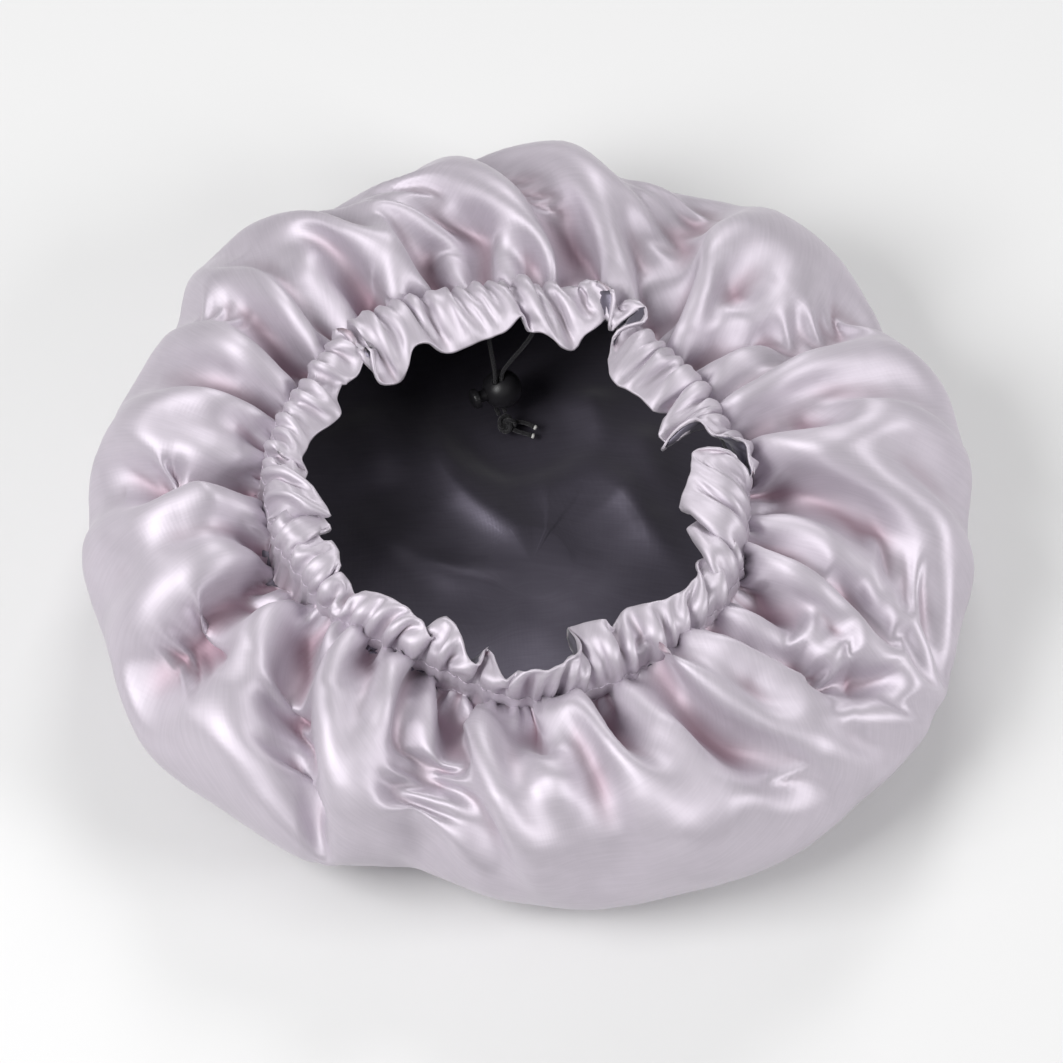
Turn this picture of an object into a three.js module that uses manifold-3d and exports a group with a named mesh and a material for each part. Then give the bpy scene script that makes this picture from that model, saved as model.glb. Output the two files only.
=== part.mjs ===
// A reversible satin hair bonnet, lying crown down with its gathered opening up.
// Two round satin panels are sewn together at the lip, and two stitch rows below the ruffle make the casing of
// an elastic draw cord. The cord's two ends come out inside at the back and run through a sprung ball lock.
// Millimetres, +Z up, origin on the table under the middle of the bonnet, front of the bonnet towards -Y.
import * as THREE from 'three';
import { mergeVertices } from 'three/addons/utils/BufferGeometryUtils.js';
import Module from 'manifold-3d';

const wasm = await Module();
wasm.setup();

// Bag: the crown and its puffed sides
const bagRadius = 180;
const bagHeight = 79;
const creaseDepth = 14;
const swellHeight = 6;
const gatherShiftX = -6;
const gatherShiftY = -8;
const panelThickness = 0.5;
const layerGap = 0.6;

// Casing: the channel between the two stitch rows, and the ruffle beyond it
const stitchRadius = 96;
const casingHeight = 73;
const casingWidth = 8;
const casingSwellOutside = 0.7;
const casingSwellInside = 2.4;
const casingCreaseDepth = 1.2;
const ruffleWidth = 18;
const ruffleDepth = 7.5;
const ruffleLeanFront = 50;
const ruffleLeanBack = 95;
const ruffleWaves = 26;
const threadDiameter = 0.5;
const threadClearance = 0.3;

// Draw cord and its lock
const cordDiameter = 2;
const cordSides = 8;
const cordGap = 0.3;
const holeClearance = 0.5;
const knotLength = 8;
const knotWidth = 6;
const tipLength = 1.2;
const ballRadius = 8.25;
const lockYaw = 25;
const strandSpacing = 2.8;
const strandShift = 1.6;
const strandClearance = 0.4;
const stemDiameter = 5;
const stemClearance = 0.3;
const stemEndWall = 1.2;
const socketEndWall = 1.45;
const plungerTravel = 2.4;
const capDiameter = 8.7;
const capThickness = 3;
const capReach = 14;
const springWire = 0.45;
const springDiameter = 3.4;
const springCurls = 3;
const cutOverrun = 2;

// Hand-chosen shares. The outline has one share of bagRadius every 15 degrees from +X, anticlockwise.
const outlineShares = [
  1.0, 1.01, 0.98, 1.0, 0.985, 0.965, 0.995, 0.97, 0.985, 1.035, 0.98, 0.99,
  1.0, 1.025, 1.04, 1.025, 1.035, 0.965, 0.995, 1.015, 1.04, 1.04, 1.055, 1.02,
];

// Main creases: azimuth at the casing, azimuth at the widest row, share of creaseDepth, and the share of
// swellHeight by which the puff that follows the crease stands up. Azimuths are in degrees.
const creaseShares = [
  [20, 14, 0.6, 0.3],
  [39, 35, 0.8, 0.8],
  [58, 66, 0.8, 0.2],
  [80, 100, 0.6, 0.5],
  [106, 122, 0.5, 0.2],
  [131, 139, 0.7, 0.6],
  [158, 160, 0.4, 0.4],
  [178, 178, 0.5, 0.2],
  [192, 193, 0.8, 0.7],
  [206, 213, 0.7, 0.3],
  [220, 239, 1.0, 0.2],
  [248, 256, 0.8, 0.6],
  [274, 278, 0.5, 0.4],
  [302, 311, 0.8, 0.9],
  [320, 325, 0.7, 0.1],
  [348, 338, 0.7, 0.8],
];
const puffColumnShares = [0, 0.3, 0.7];

// Rows of the bag from the crown outwards: share of bagRadius, share of bagHeight, share of creaseDepth,
// share of the turn from casing azimuth to widest azimuth, and the crease's direction inwards and up.
const bagRowShares = [
  { reach: 0.62, height: 0, crease: 0, turn: 1, inwards: 0, up: 1, swell: 0 },
  { reach: 0.88, height: 0.09, crease: 0.15, turn: 1, inwards: 0.9, up: 0.4, swell: 0 },
  { reach: 1, height: 0.46, crease: 0.4, turn: 1, inwards: 1, up: 0, swell: 0 },
  { reach: 0.945, height: 0.8, crease: 0.75, turn: 0.85, inwards: 0.75, up: -0.65, swell: 0.6 },
  { reach: 0.75, height: 1, crease: 1, turn: 0.45, inwards: 0, up: -1, swell: 1 },
];

// Ruffle rows from the upper stitch row to the lip: shares of ruffleWidth and ruffleDepth, and the points of
// one wave, each with its place across the wave and its side, out or in. Then each wave's own depth out and in:
// the waves above the cord's two ends lie on the cord, so they have next to no depth inwards.
const gatherPointShares = [[0.25, 1], [0.75, -1]];
const wavePointShares = [[0.04, 1], [0.46, 1], [0.54, -1], [0.96, -1]];
const ruffleRowShares = [
  { width: 0, depth: 0.06, points: gatherPointShares },
  { width: 0.3, depth: 0.15, points: gatherPointShares },
  { width: 1, depth: 1, points: wavePointShares },
];
const ruffleBendShare = 0.3;
const waveShares = [
  [1, 0.5], [0.7, 0.3], [1.15, 0.2], [0.9, 0.04], [0.6, 0.04], [0.8, 0.04], [0.6, 0.04],
  [0.8, 0.4], [1.1, 0.5], [0.65, 0.6], [0.95, 0.4], [1.1, 0.5], [0.75, 0.3],
  [1, 0.5], [0.7, 0.7], [1.15, 0.4], [0.9, 0.6], [0.6, 0.6], [1.1, 0.5], [0.8, 0.6],
  [1, 0.7], [1.1, 0.4], [0.65, 0.5], [0.95, 0.6], [1.1, 0.6], [0.75, 0.5],
];

const innerFace = panelThickness;
const liningFace = panelThickness + layerGap;
const liningInnerFace = liningFace + panelThickness;
const cordInset = (casingSwellInside + liningFace - casingSwellOutside + innerFace) / 2;
const wavePitch = 360 / ruffleWaves;

const satin = () => new THREE.MeshStandardMaterial({ color: 0xcdc4d0, roughness: 0.35, metalness: 0.05 });
const darkSatin = () => new THREE.MeshStandardMaterial({ color: 0x3a3640, roughness: 0.45, metalness: 0.05 });
const paleThread = () => new THREE.MeshStandardMaterial({ color: 0xbfb4c2, roughness: 0.6, metalness: 0 });
const darkThread = () => new THREE.MeshStandardMaterial({ color: 0x26232a, roughness: 0.7, metalness: 0 });
const elastic = () => new THREE.MeshStandardMaterial({ color: 0x2b292e, roughness: 0.75, metalness: 0 });
const fusedEnd = () => new THREE.MeshStandardMaterial({ color: 0xf1efec, roughness: 0.5, metalness: 0 });
const plastic = () => new THREE.MeshStandardMaterial({ color: 0x39373c, roughness: 0.4, metalness: 0 });
const steel = () => new THREE.MeshStandardMaterial({ color: 0xb4b6b8, roughness: 0.3, metalness: 1 });

const bonnet = new THREE.Group();

function addMesh(parent, name, geometry, material) {
  const mesh = new THREE.Mesh(geometry, material);
  mesh.name = name;
  parent.add(mesh);
  return mesh;
}

// Booleans on closed meshes whose shared vertices are merged
function toSolid(geometry) {
  const bare = geometry.clone();
  bare.deleteAttribute('normal');
  bare.deleteAttribute('uv');
  const merged = mergeVertices(bare);
  return new wasm.Manifold(new wasm.Mesh({
    numProp: 3,
    vertProperties: new Float32Array(merged.attributes.position.array),
    triVerts: new Uint32Array(merged.index.array),
  }));
}

function fromSolid(solid) {
  const mesh = solid.getMesh();
  const geometry = new THREE.BufferGeometry();
  geometry.setAttribute('position', new THREE.BufferAttribute(new Float32Array(mesh.vertProperties), 3));
  geometry.setIndex(Array.from(mesh.triVerts));
  geometry.computeVertexNormals();
  return geometry;
}

// Azimuths in degrees about a centre, and the bag's outline between its 15 degree shares
function polar(azimuth, radius, height, centreX, centreY) {
  const angle = THREE.MathUtils.degToRad(azimuth);
  return new THREE.Vector3(centreX + radius * Math.cos(angle), centreY + radius * Math.sin(angle), height);
}

function outlineShare(azimuth) {
  const place = THREE.MathUtils.euclideanModulo(azimuth, 360) / 360 * outlineShares.length;
  const first = Math.floor(place) % outlineShares.length;
  const second = (first + 1) % outlineShares.length;
  return THREE.MathUtils.lerp(outlineShares[first], outlineShares[second], place - Math.floor(place));
}

// Each puff between two creases has three columns: the crease itself, then two on the puff's crown
function bagColumns() {
  return creaseShares.flatMap((crease, index) => {
    const [ring, wide, depth, swell] = crease;
    const next = creaseShares[(index + 1) % creaseShares.length];
    const ringSpan = THREE.MathUtils.euclideanModulo(next[0] - ring, 360);
    const wideSpan = THREE.MathUtils.euclideanModulo(next[1] - wide, 360);
    return puffColumnShares.map((share, place) => ({
      ring: ring + ringSpan * share,
      wide: wide + wideSpan * share,
      depth: place === 0 ? depth : 0,
      swell: place === 0 ? 0 : swell,
    }));
  });
}

function bagPoint(row, column) {
  const azimuth = THREE.MathUtils.lerp(column.ring, column.wide, row.turn);
  const depth = creaseDepth * row.crease * column.depth;
  const reach = bagRadius * row.reach * outlineShare(azimuth) - depth * row.inwards;
  const height = bagHeight * row.height + depth * row.up + swellHeight * row.swell * column.swell;
  return polar(azimuth, reach, height, gatherShiftX * (1 - row.turn), gatherShiftY * (1 - row.turn));
}

// The casing's lower stitch row and its middle, which lie level with the cord or half a casing below it
function casingPoint(level, swell, column) {
  const reach = stitchRadius + swell - casingCreaseDepth * column.depth;
  return polar(column.ring, reach, casingHeight + casingWidth / 2 * level, gatherShiftX, gatherShiftY);
}

// The ruffle bends over and leans in above the opening, least at the front. Its bend has half the lean, and its
// waves swing square to its slope.
function ruffleRow(row) {
  const columns = [];
  for (let wave = 0; wave < ruffleWaves; wave += 1) {
    const [outDepth, inDepth] = waveShares[wave % waveShares.length];
    for (const [place, side] of row.points) {
      const azimuth = creaseShares[0][0] + (wave + place) * wavePitch;
      const backShare = (1 + Math.sin(THREE.MathUtils.degToRad(azimuth))) / 2;
      const lean = THREE.MathUtils.degToRad(THREE.MathUtils.lerp(ruffleLeanFront, ruffleLeanBack, backShare));
      const bent = ruffleWidth * Math.min(row.width, ruffleBendShare);
      const straight = ruffleWidth * row.width - bent;
      const swing = ruffleDepth * row.depth * (side > 0 ? outDepth : -inDepth);
      const inwardsReach = bent * Math.sin(lean / 2) + straight * Math.sin(lean);
      const rise = bent * Math.cos(lean / 2) + straight * Math.cos(lean);
      const reach = stitchRadius - inwardsReach + swing * Math.cos(lean);
      const height = casingHeight + casingWidth / 2 + rise + swing * Math.sin(lean);
      columns.push({ azimuth, at: polar(azimuth, reach, height, gatherShiftX, gatherShiftY) });
    }
  }
  return columns;
}

// The outside face of the outer panel as one sheet: its points, its triangles and its rows.
// casingSwell is how far the casing's middle row stands out from its stitch rows, inwards if it is negative.
function gatheredSheet(casingSwell) {
  const columns = bagColumns();
  const rows = bagRowShares.map((row) => columns.map((column) => ({
    azimuth: THREE.MathUtils.lerp(column.ring, column.wide, row.turn),
    at: bagPoint(row, column),
  })));
  for (const [level, swell] of [[-1, 0], [0, casingSwell]]) {
    rows.push(columns.map((column) => ({ azimuth: column.ring, at: casingPoint(level, swell, column) })));
  }
  ruffleRowShares.forEach((row) => rows.push(ruffleRow(row)));

  const points = [new THREE.Vector3(0, 0, 0)];
  const starts = rows.map((row) => {
    const start = points.length;
    row.forEach((place) => points.push(place.at));
    return start;
  });
  const triangles = rows[0].map((_, index) => [0, 1 + (index + 1) % rows[0].length, 1 + index]);
  for (let index = 1; index < rows.length; index += 1) {
    triangles.push(...band(rows[index - 1], starts[index - 1], rows[index], starts[index]));
  }
  return { points, triangles, rows, starts };
}

// Triangles between two closed rows. Rows of equal counts join column to column, others by nearest azimuth.
function band(low, lowStart, high, highStart) {
  const triangles = [];
  const turn = (row, index) => row[index % row.length].azimuth + 360 * Math.floor(index / row.length);
  let a = 0;
  let b = 0;
  while (a < low.length || b < high.length) {
    const lowIsNext = a < low.length && turn(low, a + 1) < turn(high, b + 1);
    const stepLow = low.length === high.length ? a === b : b >= high.length || lowIsNext;
    const lowNow = lowStart + a % low.length;
    const highNow = highStart + b % high.length;
    if (stepLow) {
      triangles.push([lowNow, lowStart + (a + 1) % low.length, highNow]);
      a += 1;
    } else {
      triangles.push([lowNow, highStart + (b + 1) % high.length, highNow]);
      b += 1;
    }
  }
  return triangles;
}

// Moves each point of a sheet inwards so that its faces move by the distance: the step along the mean normal
// grows where the faces meet at an angle, up to the step for a face that leans by the steepest share.
const steepestShare = 0.5;
function offsetPoints(sheet, distance) {
  const normals = sheet.triangles.map(([a, b, c]) => new THREE.Triangle(
    sheet.points[a], sheet.points[b], sheet.points[c],
  ).getNormal(new THREE.Vector3()));
  const around = sheet.points.map(() => []);
  sheet.triangles.forEach((corners, face) => corners.forEach((corner) => around[corner].push(face)));
  return sheet.points.map((point, index) => {
    const mean = new THREE.Vector3();
    around[index].forEach((face) => {
      const others = sheet.triangles[face].filter((corner) => corner !== index);
      const first = sheet.points[others[0]].clone().sub(point);
      const second = sheet.points[others[1]].clone().sub(point);
      mean.addScaledVector(normals[face], first.angleTo(second));
    });
    mean.normalize();
    const steepest = Math.min(...around[index].map((face) => normals[face].dot(mean)));
    return point.clone().addScaledVector(mean, -distance / Math.max(steepest, steepestShare));
  });
}

// A closed shell of the sheet between two depths, joined along the lip
function clothShell(sheet, outside, inside) {
  const outer = offsetPoints(sheet, outside);
  const inner = offsetPoints(sheet, inside);
  const count = sheet.points.length;
  const index = [];
  sheet.triangles.forEach(([a, b, c]) => index.push(a, b, c, count + a, count + c, count + b));
  const lip = sheet.rows.length - 1;
  const start = sheet.starts[lip];
  const size = sheet.rows[lip].length;
  for (let column = 0; column < size; column += 1) {
    const here = start + column;
    const next = start + (column + 1) % size;
    index.push(here, next, count + next, here, count + next, count + here);
  }
  const geometry = new THREE.BufferGeometry();
  const positions = [...outer, ...inner].flatMap((point) => point.toArray());
  geometry.setAttribute('position', new THREE.Float32BufferAttribute(positions, 3));
  geometry.setIndex(index);
  geometry.computeVertexNormals();
  return geometry;
}

// Cord tubes
function circleShape(radius, sides) {
  const corners = [];
  for (let side = 0; side < sides; side += 1) {
    const angle = 2 * Math.PI * side / sides;
    corners.push(new THREE.Vector2(radius * Math.cos(angle), radius * Math.sin(angle)));
  }
  return new THREE.Shape(corners);
}

function tube(path, steps, radius, sides) {
  const options = { steps, bevelEnabled: false, extrudePath: path };
  return new THREE.ExtrudeGeometry(circleShape(radius, sides), options);
}

function smoothPath(points) {
  const corners = points.map(([x, y, z]) => new THREE.Vector3(x, y, z));
  return new THREE.CatmullRomCurve3(corners, false, 'centripetal');
}

function cordTube(points, diameter = cordDiameter) {
  const path = smoothPath(points);
  const steps = Math.max(2, Math.round(path.getLength() / (2 * cordDiameter)));
  return tube(path, steps, diameter / 2, cordSides);
}

// A path that runs straight from point to point, with an equal share of the way for each
class RowPath extends THREE.Curve {
  constructor(points) {
    super();
    this.points = points;
  }

  getPoint(t, target = new THREE.Vector3()) {
    const place = t * (this.points.length - 1);
    const first = Math.min(Math.floor(place), this.points.length - 2);
    return target.lerpVectors(this.points[first], this.points[first + 1], place - first);
  }

  getUtoTmapping(u) {
    return u;
  }
}

// Panels
const outerSheet = gatheredSheet(casingSwellOutside);
const liningSheet = gatheredSheet(-casingSwellInside);
addMesh(bonnet, 'outer_panel', clothShell(outerSheet, 0, innerFace), satin());

// Draw cord: round the casing from the left exit by the front to the right exit
const lowerStitchRow = bagRowShares.length;
const casingMiddleRow = lowerStitchRow + 1;
const upperStitchRow = lowerStitchRow + 2;
const exitAzimuths = { left: 108, right: 74 };

const casingCentre = offsetPoints(outerSheet, cordInset).slice(
  outerSheet.starts[casingMiddleRow], outerSheet.starts[upperStitchRow],
);
const casingAzimuths = outerSheet.rows[casingMiddleRow].map((place) => place.azimuth);
const leftOfExit = casingCentre.filter((_, index) => casingAzimuths[index] > exitAzimuths.left);
const rightOfExit = casingCentre.filter((_, index) => casingAzimuths[index] < exitAzimuths.right);
const drawCordPoints = [...leftOfExit, ...rightOfExit];
const drawCordSteps = drawCordPoints.length - 1;
const drawCordTube = tube(new RowPath(drawCordPoints), drawCordSteps, cordDiameter / 2, cordSides);
addMesh(bonnet, 'draw_cord', drawCordTube, elastic());

// Free ends of the cord, as hand-chosen points
const exitRoutes = {
  left: [
    [-43.5, 79.2, 73], [-38, 80.5, 73], [-31.8, 81.8, 73], [-27, 82.1, 73],
    [-23, 81, 72.6], [-20.2, 78.4, 71.6], [-18.7, 75.8, 69.6], [-18.4, 74.6, 67],
  ],
  right: [
    [20.8, 83.3, 73], [16, 84, 73], [11, 83.9, 73], [6.5, 82.4, 72.8],
    [3, 79.4, 71.8], [1, 76.8, 70.4], [0.3, 75.2, 68.8], [0.2, 74.6, 67],
  ],
};
const upperRoutes = {
  left: [
    [-18.4, 74.6, 66.7], [-18.2, 74.6, 64], [-17.4, 74, 56],
    [-16.2, 73, 46], [-15.5, 72.4, 39], [-15.32, 72.23, 34.5],
  ],
  right: [
    [0.2, 74.6, 66.7], [-0.2, 74.6, 64], [-3.6, 74.4, 56],
    [-8.8, 74, 46], [-12, 73.6, 39], [-12.78, 73.42, 34.5],
  ],
};
const lowerRoutes = {
  left: [
    [-15.32, 72.23, 34.2], [-15.32, 72.23, 26], [-15.32, 72.23, 17.4],
    [-15, 71, 14.6], [-13.8, 69.4, 12.6],
  ],
  right: [
    [-12.78, 73.42, 34.2], [-12.78, 73.42, 26], [-12.78, 73.42, 17.4],
    [-12.4, 72, 15.2], [-11.2, 70.2, 13.4],
  ],
};
const tailRoutes = {
  left: [[-7.75, 67.9, 9], [-4.8, 68.5, 8.3], [-1.8, 68.2, 7.4], [0.6, 67.2, 6.8]],
  right: [[-8.15, 64.9, 8], [-5.4, 64.4, 7], [-2.4, 63.9, 6.2], [-0.4, 63.4, 5.8]],
};
const ballCentre = new THREE.Vector3(-12.6, 73.5, 26);
const knotCentre = new THREE.Vector3(-10.8, 67, 9.6);
const knotLean = 35;

for (const side of ['left', 'right']) {
  addMesh(bonnet, `cord_exit_${side}`, cordTube(exitRoutes[side]), elastic());
  addMesh(bonnet, `cord_upper_${side}`, cordTube(upperRoutes[side]), elastic());
  addMesh(bonnet, `cord_lower_${side}`, cordTube(lowerRoutes[side]), elastic());
  addMesh(bonnet, `cord_tail_${side}`, cordTube(tailRoutes[side]), elastic());
  const end = smoothPath(tailRoutes[side]);
  const along = end.getTangent(1);
  const tipFrom = end.getPoint(1).addScaledVector(along, cordGap);
  const tipTo = tipFrom.clone().addScaledVector(along, tipLength);
  const tip = tube(new THREE.LineCurve3(tipFrom, tipTo), 1, cordDiameter / 2, cordSides);
  addMesh(bonnet, `cord_tip_${side}`, tip, fusedEnd());
}

const knotSides = 12;
const knotRings = 9;
const knot = addMesh(bonnet, 'cord_knot', new THREE.SphereGeometry(1, knotSides, knotRings), elastic());
knot.scale.set(knotWidth / 2, knotWidth / 2, knotLength / 2);
knot.rotation.x = THREE.MathUtils.degToRad(-knotLean);
knot.position.copy(knotCentre);

// Lining: its own shell inside the outer panel, with a worked hole where each cord end passes through
let lining = toSolid(clothShell(liningSheet, liningFace, liningInnerFace));
for (const side of ['left', 'right']) {
  lining = lining.subtract(toSolid(cordTube(exitRoutes[side], cordDiameter + 2 * holeClearance)));
}
addMesh(bonnet, 'lining_panel', fromSolid(lining), darkSatin());

// Stitch rows: the needle thread lies on the outer panel, the bobbin thread in the crook of the lining
const threadSides = 4;
const threadLift = threadClearance + threadDiameter / 2;
const gatherCentre = new THREE.Vector3(gatherShiftX, gatherShiftY, 0);
function stitchThread(sheet, row, depth, inwards) {
  const start = sheet.starts[row];
  const points = offsetPoints(sheet, depth).slice(start, start + sheet.rows[row].length);
  points.forEach((point) => {
    const outwards = point.clone().sub(gatherCentre).setZ(0).normalize();
    point.addScaledVector(outwards, -inwards);
  });
  return tube(new RowPath(points), points.length - 1, threadDiameter / 2, threadSides);
}
for (const [name, row] of [['lower', lowerStitchRow], ['upper', upperStitchRow]]) {
  const needle = stitchThread(outerSheet, row, -threadLift, 0);
  const bobbin = stitchThread(liningSheet, row, liningInnerFace, 2 * threadLift);
  addMesh(bonnet, `${name}_row_needle_thread`, needle, paleThread());
  addMesh(bonnet, `${name}_row_bobbin_thread`, bobbin, darkThread());
}

// Ball lock: its own group, with the plunger along -X before the group is turned
const lock = new THREE.Group();
lock.position.copy(ballCentre);
lock.rotation.z = THREE.MathUtils.degToRad(lockYaw);
bonnet.add(lock);

const ballSides = 32;
const ballRings = 20;
const boreSides = 24;
const strandReach = strandSpacing / 2 + cordDiameter / 2 + strandClearance;
const strandHalfWidth = cordDiameter / 2 + strandClearance;
const boreLeft = -strandShift - strandReach;
const boreRight = -strandShift + strandReach;
const socketEnd = ballRadius - socketEndWall;
const stemEnd = boreRight + stemEndWall;
const capInnerFace = -capReach + capThickness;

// A slot with round ends, cut along Z, from x = left to x = right
function slotCut(left, right, halfWidth, height) {
  const shape = new THREE.Shape();
  shape.absarc(left + halfWidth, 0, halfWidth, Math.PI / 2, 3 * Math.PI / 2);
  shape.absarc(right - halfWidth, 0, halfWidth, -Math.PI / 2, Math.PI / 2);
  const geometry = new THREE.ExtrudeGeometry(shape, { depth: height, bevelEnabled: false, curveSegments: 8 });
  return geometry.translate(0, 0, -height / 2);
}

// A round bar along X
function barAlongX(from, to, diameter) {
  const geometry = new THREE.CylinderGeometry(diameter / 2, diameter / 2, to - from, boreSides);
  return geometry.rotateZ(Math.PI / 2).translate((from + to) / 2, 0, 0);
}

const ball = toSolid(new THREE.SphereGeometry(ballRadius, ballSides, ballRings).rotateX(Math.PI / 2));
const strandBore = toSolid(slotCut(boreLeft, boreRight, strandHalfWidth, 2 * (ballRadius + cutOverrun)));
const socket = toSolid(barAlongX(-ballRadius - cutOverrun, socketEnd, stemDiameter + 2 * stemClearance));
addMesh(lock, 'lock_body', fromSolid(ball.subtract(strandBore).subtract(socket)), plastic());

// Plunger: a stem with a long cross slot and a rounded cap, turned as one profile about X
const capRound = capThickness / 3;
const capRadius = capDiameter / 2;
const capArcSteps = 5;
const capEdge = [];
for (let step = 0; step <= capArcSteps; step += 1) {
  const angle = Math.PI / 2 * step / capArcSteps;
  capEdge.push(new THREE.Vector2(
    capRadius - capRound + capRound * Math.sin(angle),
    capReach - capRound + capRound * Math.cos(angle),
  ));
}
const plungerProfile = [
  new THREE.Vector2(0, capReach),
  ...capEdge,
  new THREE.Vector2(capRadius, -capInnerFace),
  new THREE.Vector2(stemDiameter / 2, -capInnerFace),
  new THREE.Vector2(stemDiameter / 2, -stemEnd),
  new THREE.Vector2(0, -stemEnd),
].reverse();
const plungerBlank = toSolid(new THREE.LatheGeometry(plungerProfile, boreSides).rotateZ(Math.PI / 2));
const slotHeight = stemDiameter + cutOverrun;
const crossSlot = toSolid(slotCut(boreLeft - plungerTravel, boreRight, strandHalfWidth, slotHeight));
addMesh(lock, 'lock_plunger', fromSolid(plungerBlank.subtract(crossSlot)), plastic());

// Spring between the stem's end and the socket's end
class Helix extends THREE.Curve {
  constructor(from, to, radius, curls) {
    super();
    Object.assign(this, { from, to, radius, curls });
  }

  getPoint(t, target = new THREE.Vector3()) {
    const angle = 2 * Math.PI * this.curls * t;
    return target.set(
      THREE.MathUtils.lerp(this.from, this.to, t),
      this.radius * Math.cos(angle),
      this.radius * Math.sin(angle),
    );
  }
}
const springInset = cordGap + springWire / 2;
const springRadius = (springDiameter - springWire) / 2;
const springPath = new Helix(stemEnd + springInset, socketEnd - springInset, springRadius, springCurls);
const curlSteps = 8;
const springSides = 5;
addMesh(lock, 'lock_spring', tube(springPath, curlSteps * springCurls, springWire / 2, springSides), steel());

// Least gap of the spring to its own neighbouring curls, measured on points
function leastSelfGap(path, curls, wire) {
  const samples = 40 * curls;
  const points = path.getPoints(samples);
  let least = Infinity;
  points.forEach((point, index) => {
    for (let other = index + samples / curls / 2; other < points.length; other += 1) {
      least = Math.min(least, point.distanceTo(points[other]) - wire);
    }
  });
  return least;
}
console.log(`spring: least gap to itself ${leastSelfGap(springPath, springCurls, springWire).toFixed(2)} mm`);

// The origin is under the middle of the bonnet's box
const footprint = new THREE.Box3().setFromObject(bonnet, true);
const middle = footprint.getCenter(new THREE.Vector3());
bonnet.position.set(-middle.x, -middle.y, 0);
console.log(`the bonnet moves by ${(-middle.x).toFixed(3)}, ${(-middle.y).toFixed(3)} mm onto its origin`);

export default bonnet;
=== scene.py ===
import bpy
import numpy as np
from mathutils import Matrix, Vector


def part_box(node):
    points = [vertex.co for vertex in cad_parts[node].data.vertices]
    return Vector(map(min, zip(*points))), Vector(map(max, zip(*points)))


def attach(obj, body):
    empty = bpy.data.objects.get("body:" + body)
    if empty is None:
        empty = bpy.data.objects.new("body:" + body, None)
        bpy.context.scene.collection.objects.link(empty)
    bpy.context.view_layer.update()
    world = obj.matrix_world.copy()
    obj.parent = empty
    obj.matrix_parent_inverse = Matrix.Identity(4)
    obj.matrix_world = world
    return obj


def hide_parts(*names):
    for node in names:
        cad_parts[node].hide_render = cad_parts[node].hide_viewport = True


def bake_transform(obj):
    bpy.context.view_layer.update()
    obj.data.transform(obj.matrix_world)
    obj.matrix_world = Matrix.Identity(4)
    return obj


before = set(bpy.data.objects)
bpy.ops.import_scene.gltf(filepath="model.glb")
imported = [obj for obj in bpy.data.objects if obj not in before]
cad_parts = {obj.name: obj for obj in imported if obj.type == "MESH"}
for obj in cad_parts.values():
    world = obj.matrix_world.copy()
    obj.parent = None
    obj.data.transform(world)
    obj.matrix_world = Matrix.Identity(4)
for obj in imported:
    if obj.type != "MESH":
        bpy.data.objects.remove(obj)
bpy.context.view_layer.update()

# Camera: it looks down on the bonnet from the front, 57 degrees above the table, from three metres away, with
# a long lens, so that the bonnet fills four fifths of the square picture.
camera_elevation = np.radians(57)
camera_distance = 3.0
camera_target = np.array([0.0, -0.004, 0.0355])
camera_lens = 246.0
camera_sensor = 36
camera_away = np.array([0, -np.cos(camera_elevation), np.sin(camera_elevation)])
camera = bpy.data.objects.new("camera", bpy.data.cameras.new("camera"))
bpy.context.scene.collection.objects.link(camera)
camera.location = camera_target + camera_distance * camera_away
camera.rotation_euler = (np.pi / 2 - camera_elevation, 0, 0)
camera.data.lens = camera_lens
camera.data.sensor_width = camera_sensor
camera.data.clip_end = 20
bpy.context.scene.camera = camera

# Draw cord: one length of black braided elastic, 1.8 millimetres thick. It runs round inside the casing. Its
# two ends come out through the lining at the back, hang down through the lock and are tied in a knot.
MM = 0.001
ball_radius = 8.25 * MM
lock_low, lock_high = (np.array(corner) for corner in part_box("lock_body"))
ball_centre_in_drawing = np.array([-12.6, 73.5, 26]) * MM
drawing_shift = (lock_low + lock_high) / 2 - ball_centre_in_drawing
drawing_shift[2] = 0


def drawn(points):
    """Points of the drawing, in millimetres, brought into the frame: scaled to metres and moved with the
    ball."""
    return np.array(points, float) * MM + drawing_shift


def smooth_curve(points, count):
    """A smooth curve through points: between two of them a cubic whose end slopes are half the chord between
    the neighbours on either side. Its samples are spread evenly along its length."""
    points = np.array(points, float)
    padded = np.vstack([2 * points[0] - points[1], points, 2 * points[-1] - points[-2]])
    share = np.linspace(0, 1, 24, endpoint=False)[None, :, None]
    a, b, c, d = (padded[k:len(padded) - 3 + k, None, :] for k in range(4))
    cubic = 0.5 * (2 * b + (c - a) * share + (2 * a - 5 * b + 4 * c - d) * share**2
                   + (3 * b - a - 3 * c + d) * share**3)
    dense = np.vstack([cubic.reshape(-1, points.shape[1]), points[-1:]])
    return spread_evenly(dense, count)


def spread_evenly(dense, count):
    """Samples at equal distances along a dense line."""
    reach = np.concatenate([[0], np.cumsum(np.linalg.norm(np.diff(dense, axis=0), axis=1))])
    wanted = np.linspace(0, reach[-1], count)
    return np.stack([np.interp(wanted, reach, dense[:, k]) for k in range(dense.shape[1])], axis=-1)


def curve_length(points):
    """The sum of the steps along a line of points."""
    return float(np.linalg.norm(np.diff(points, axis=0), axis=1).sum())


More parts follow.
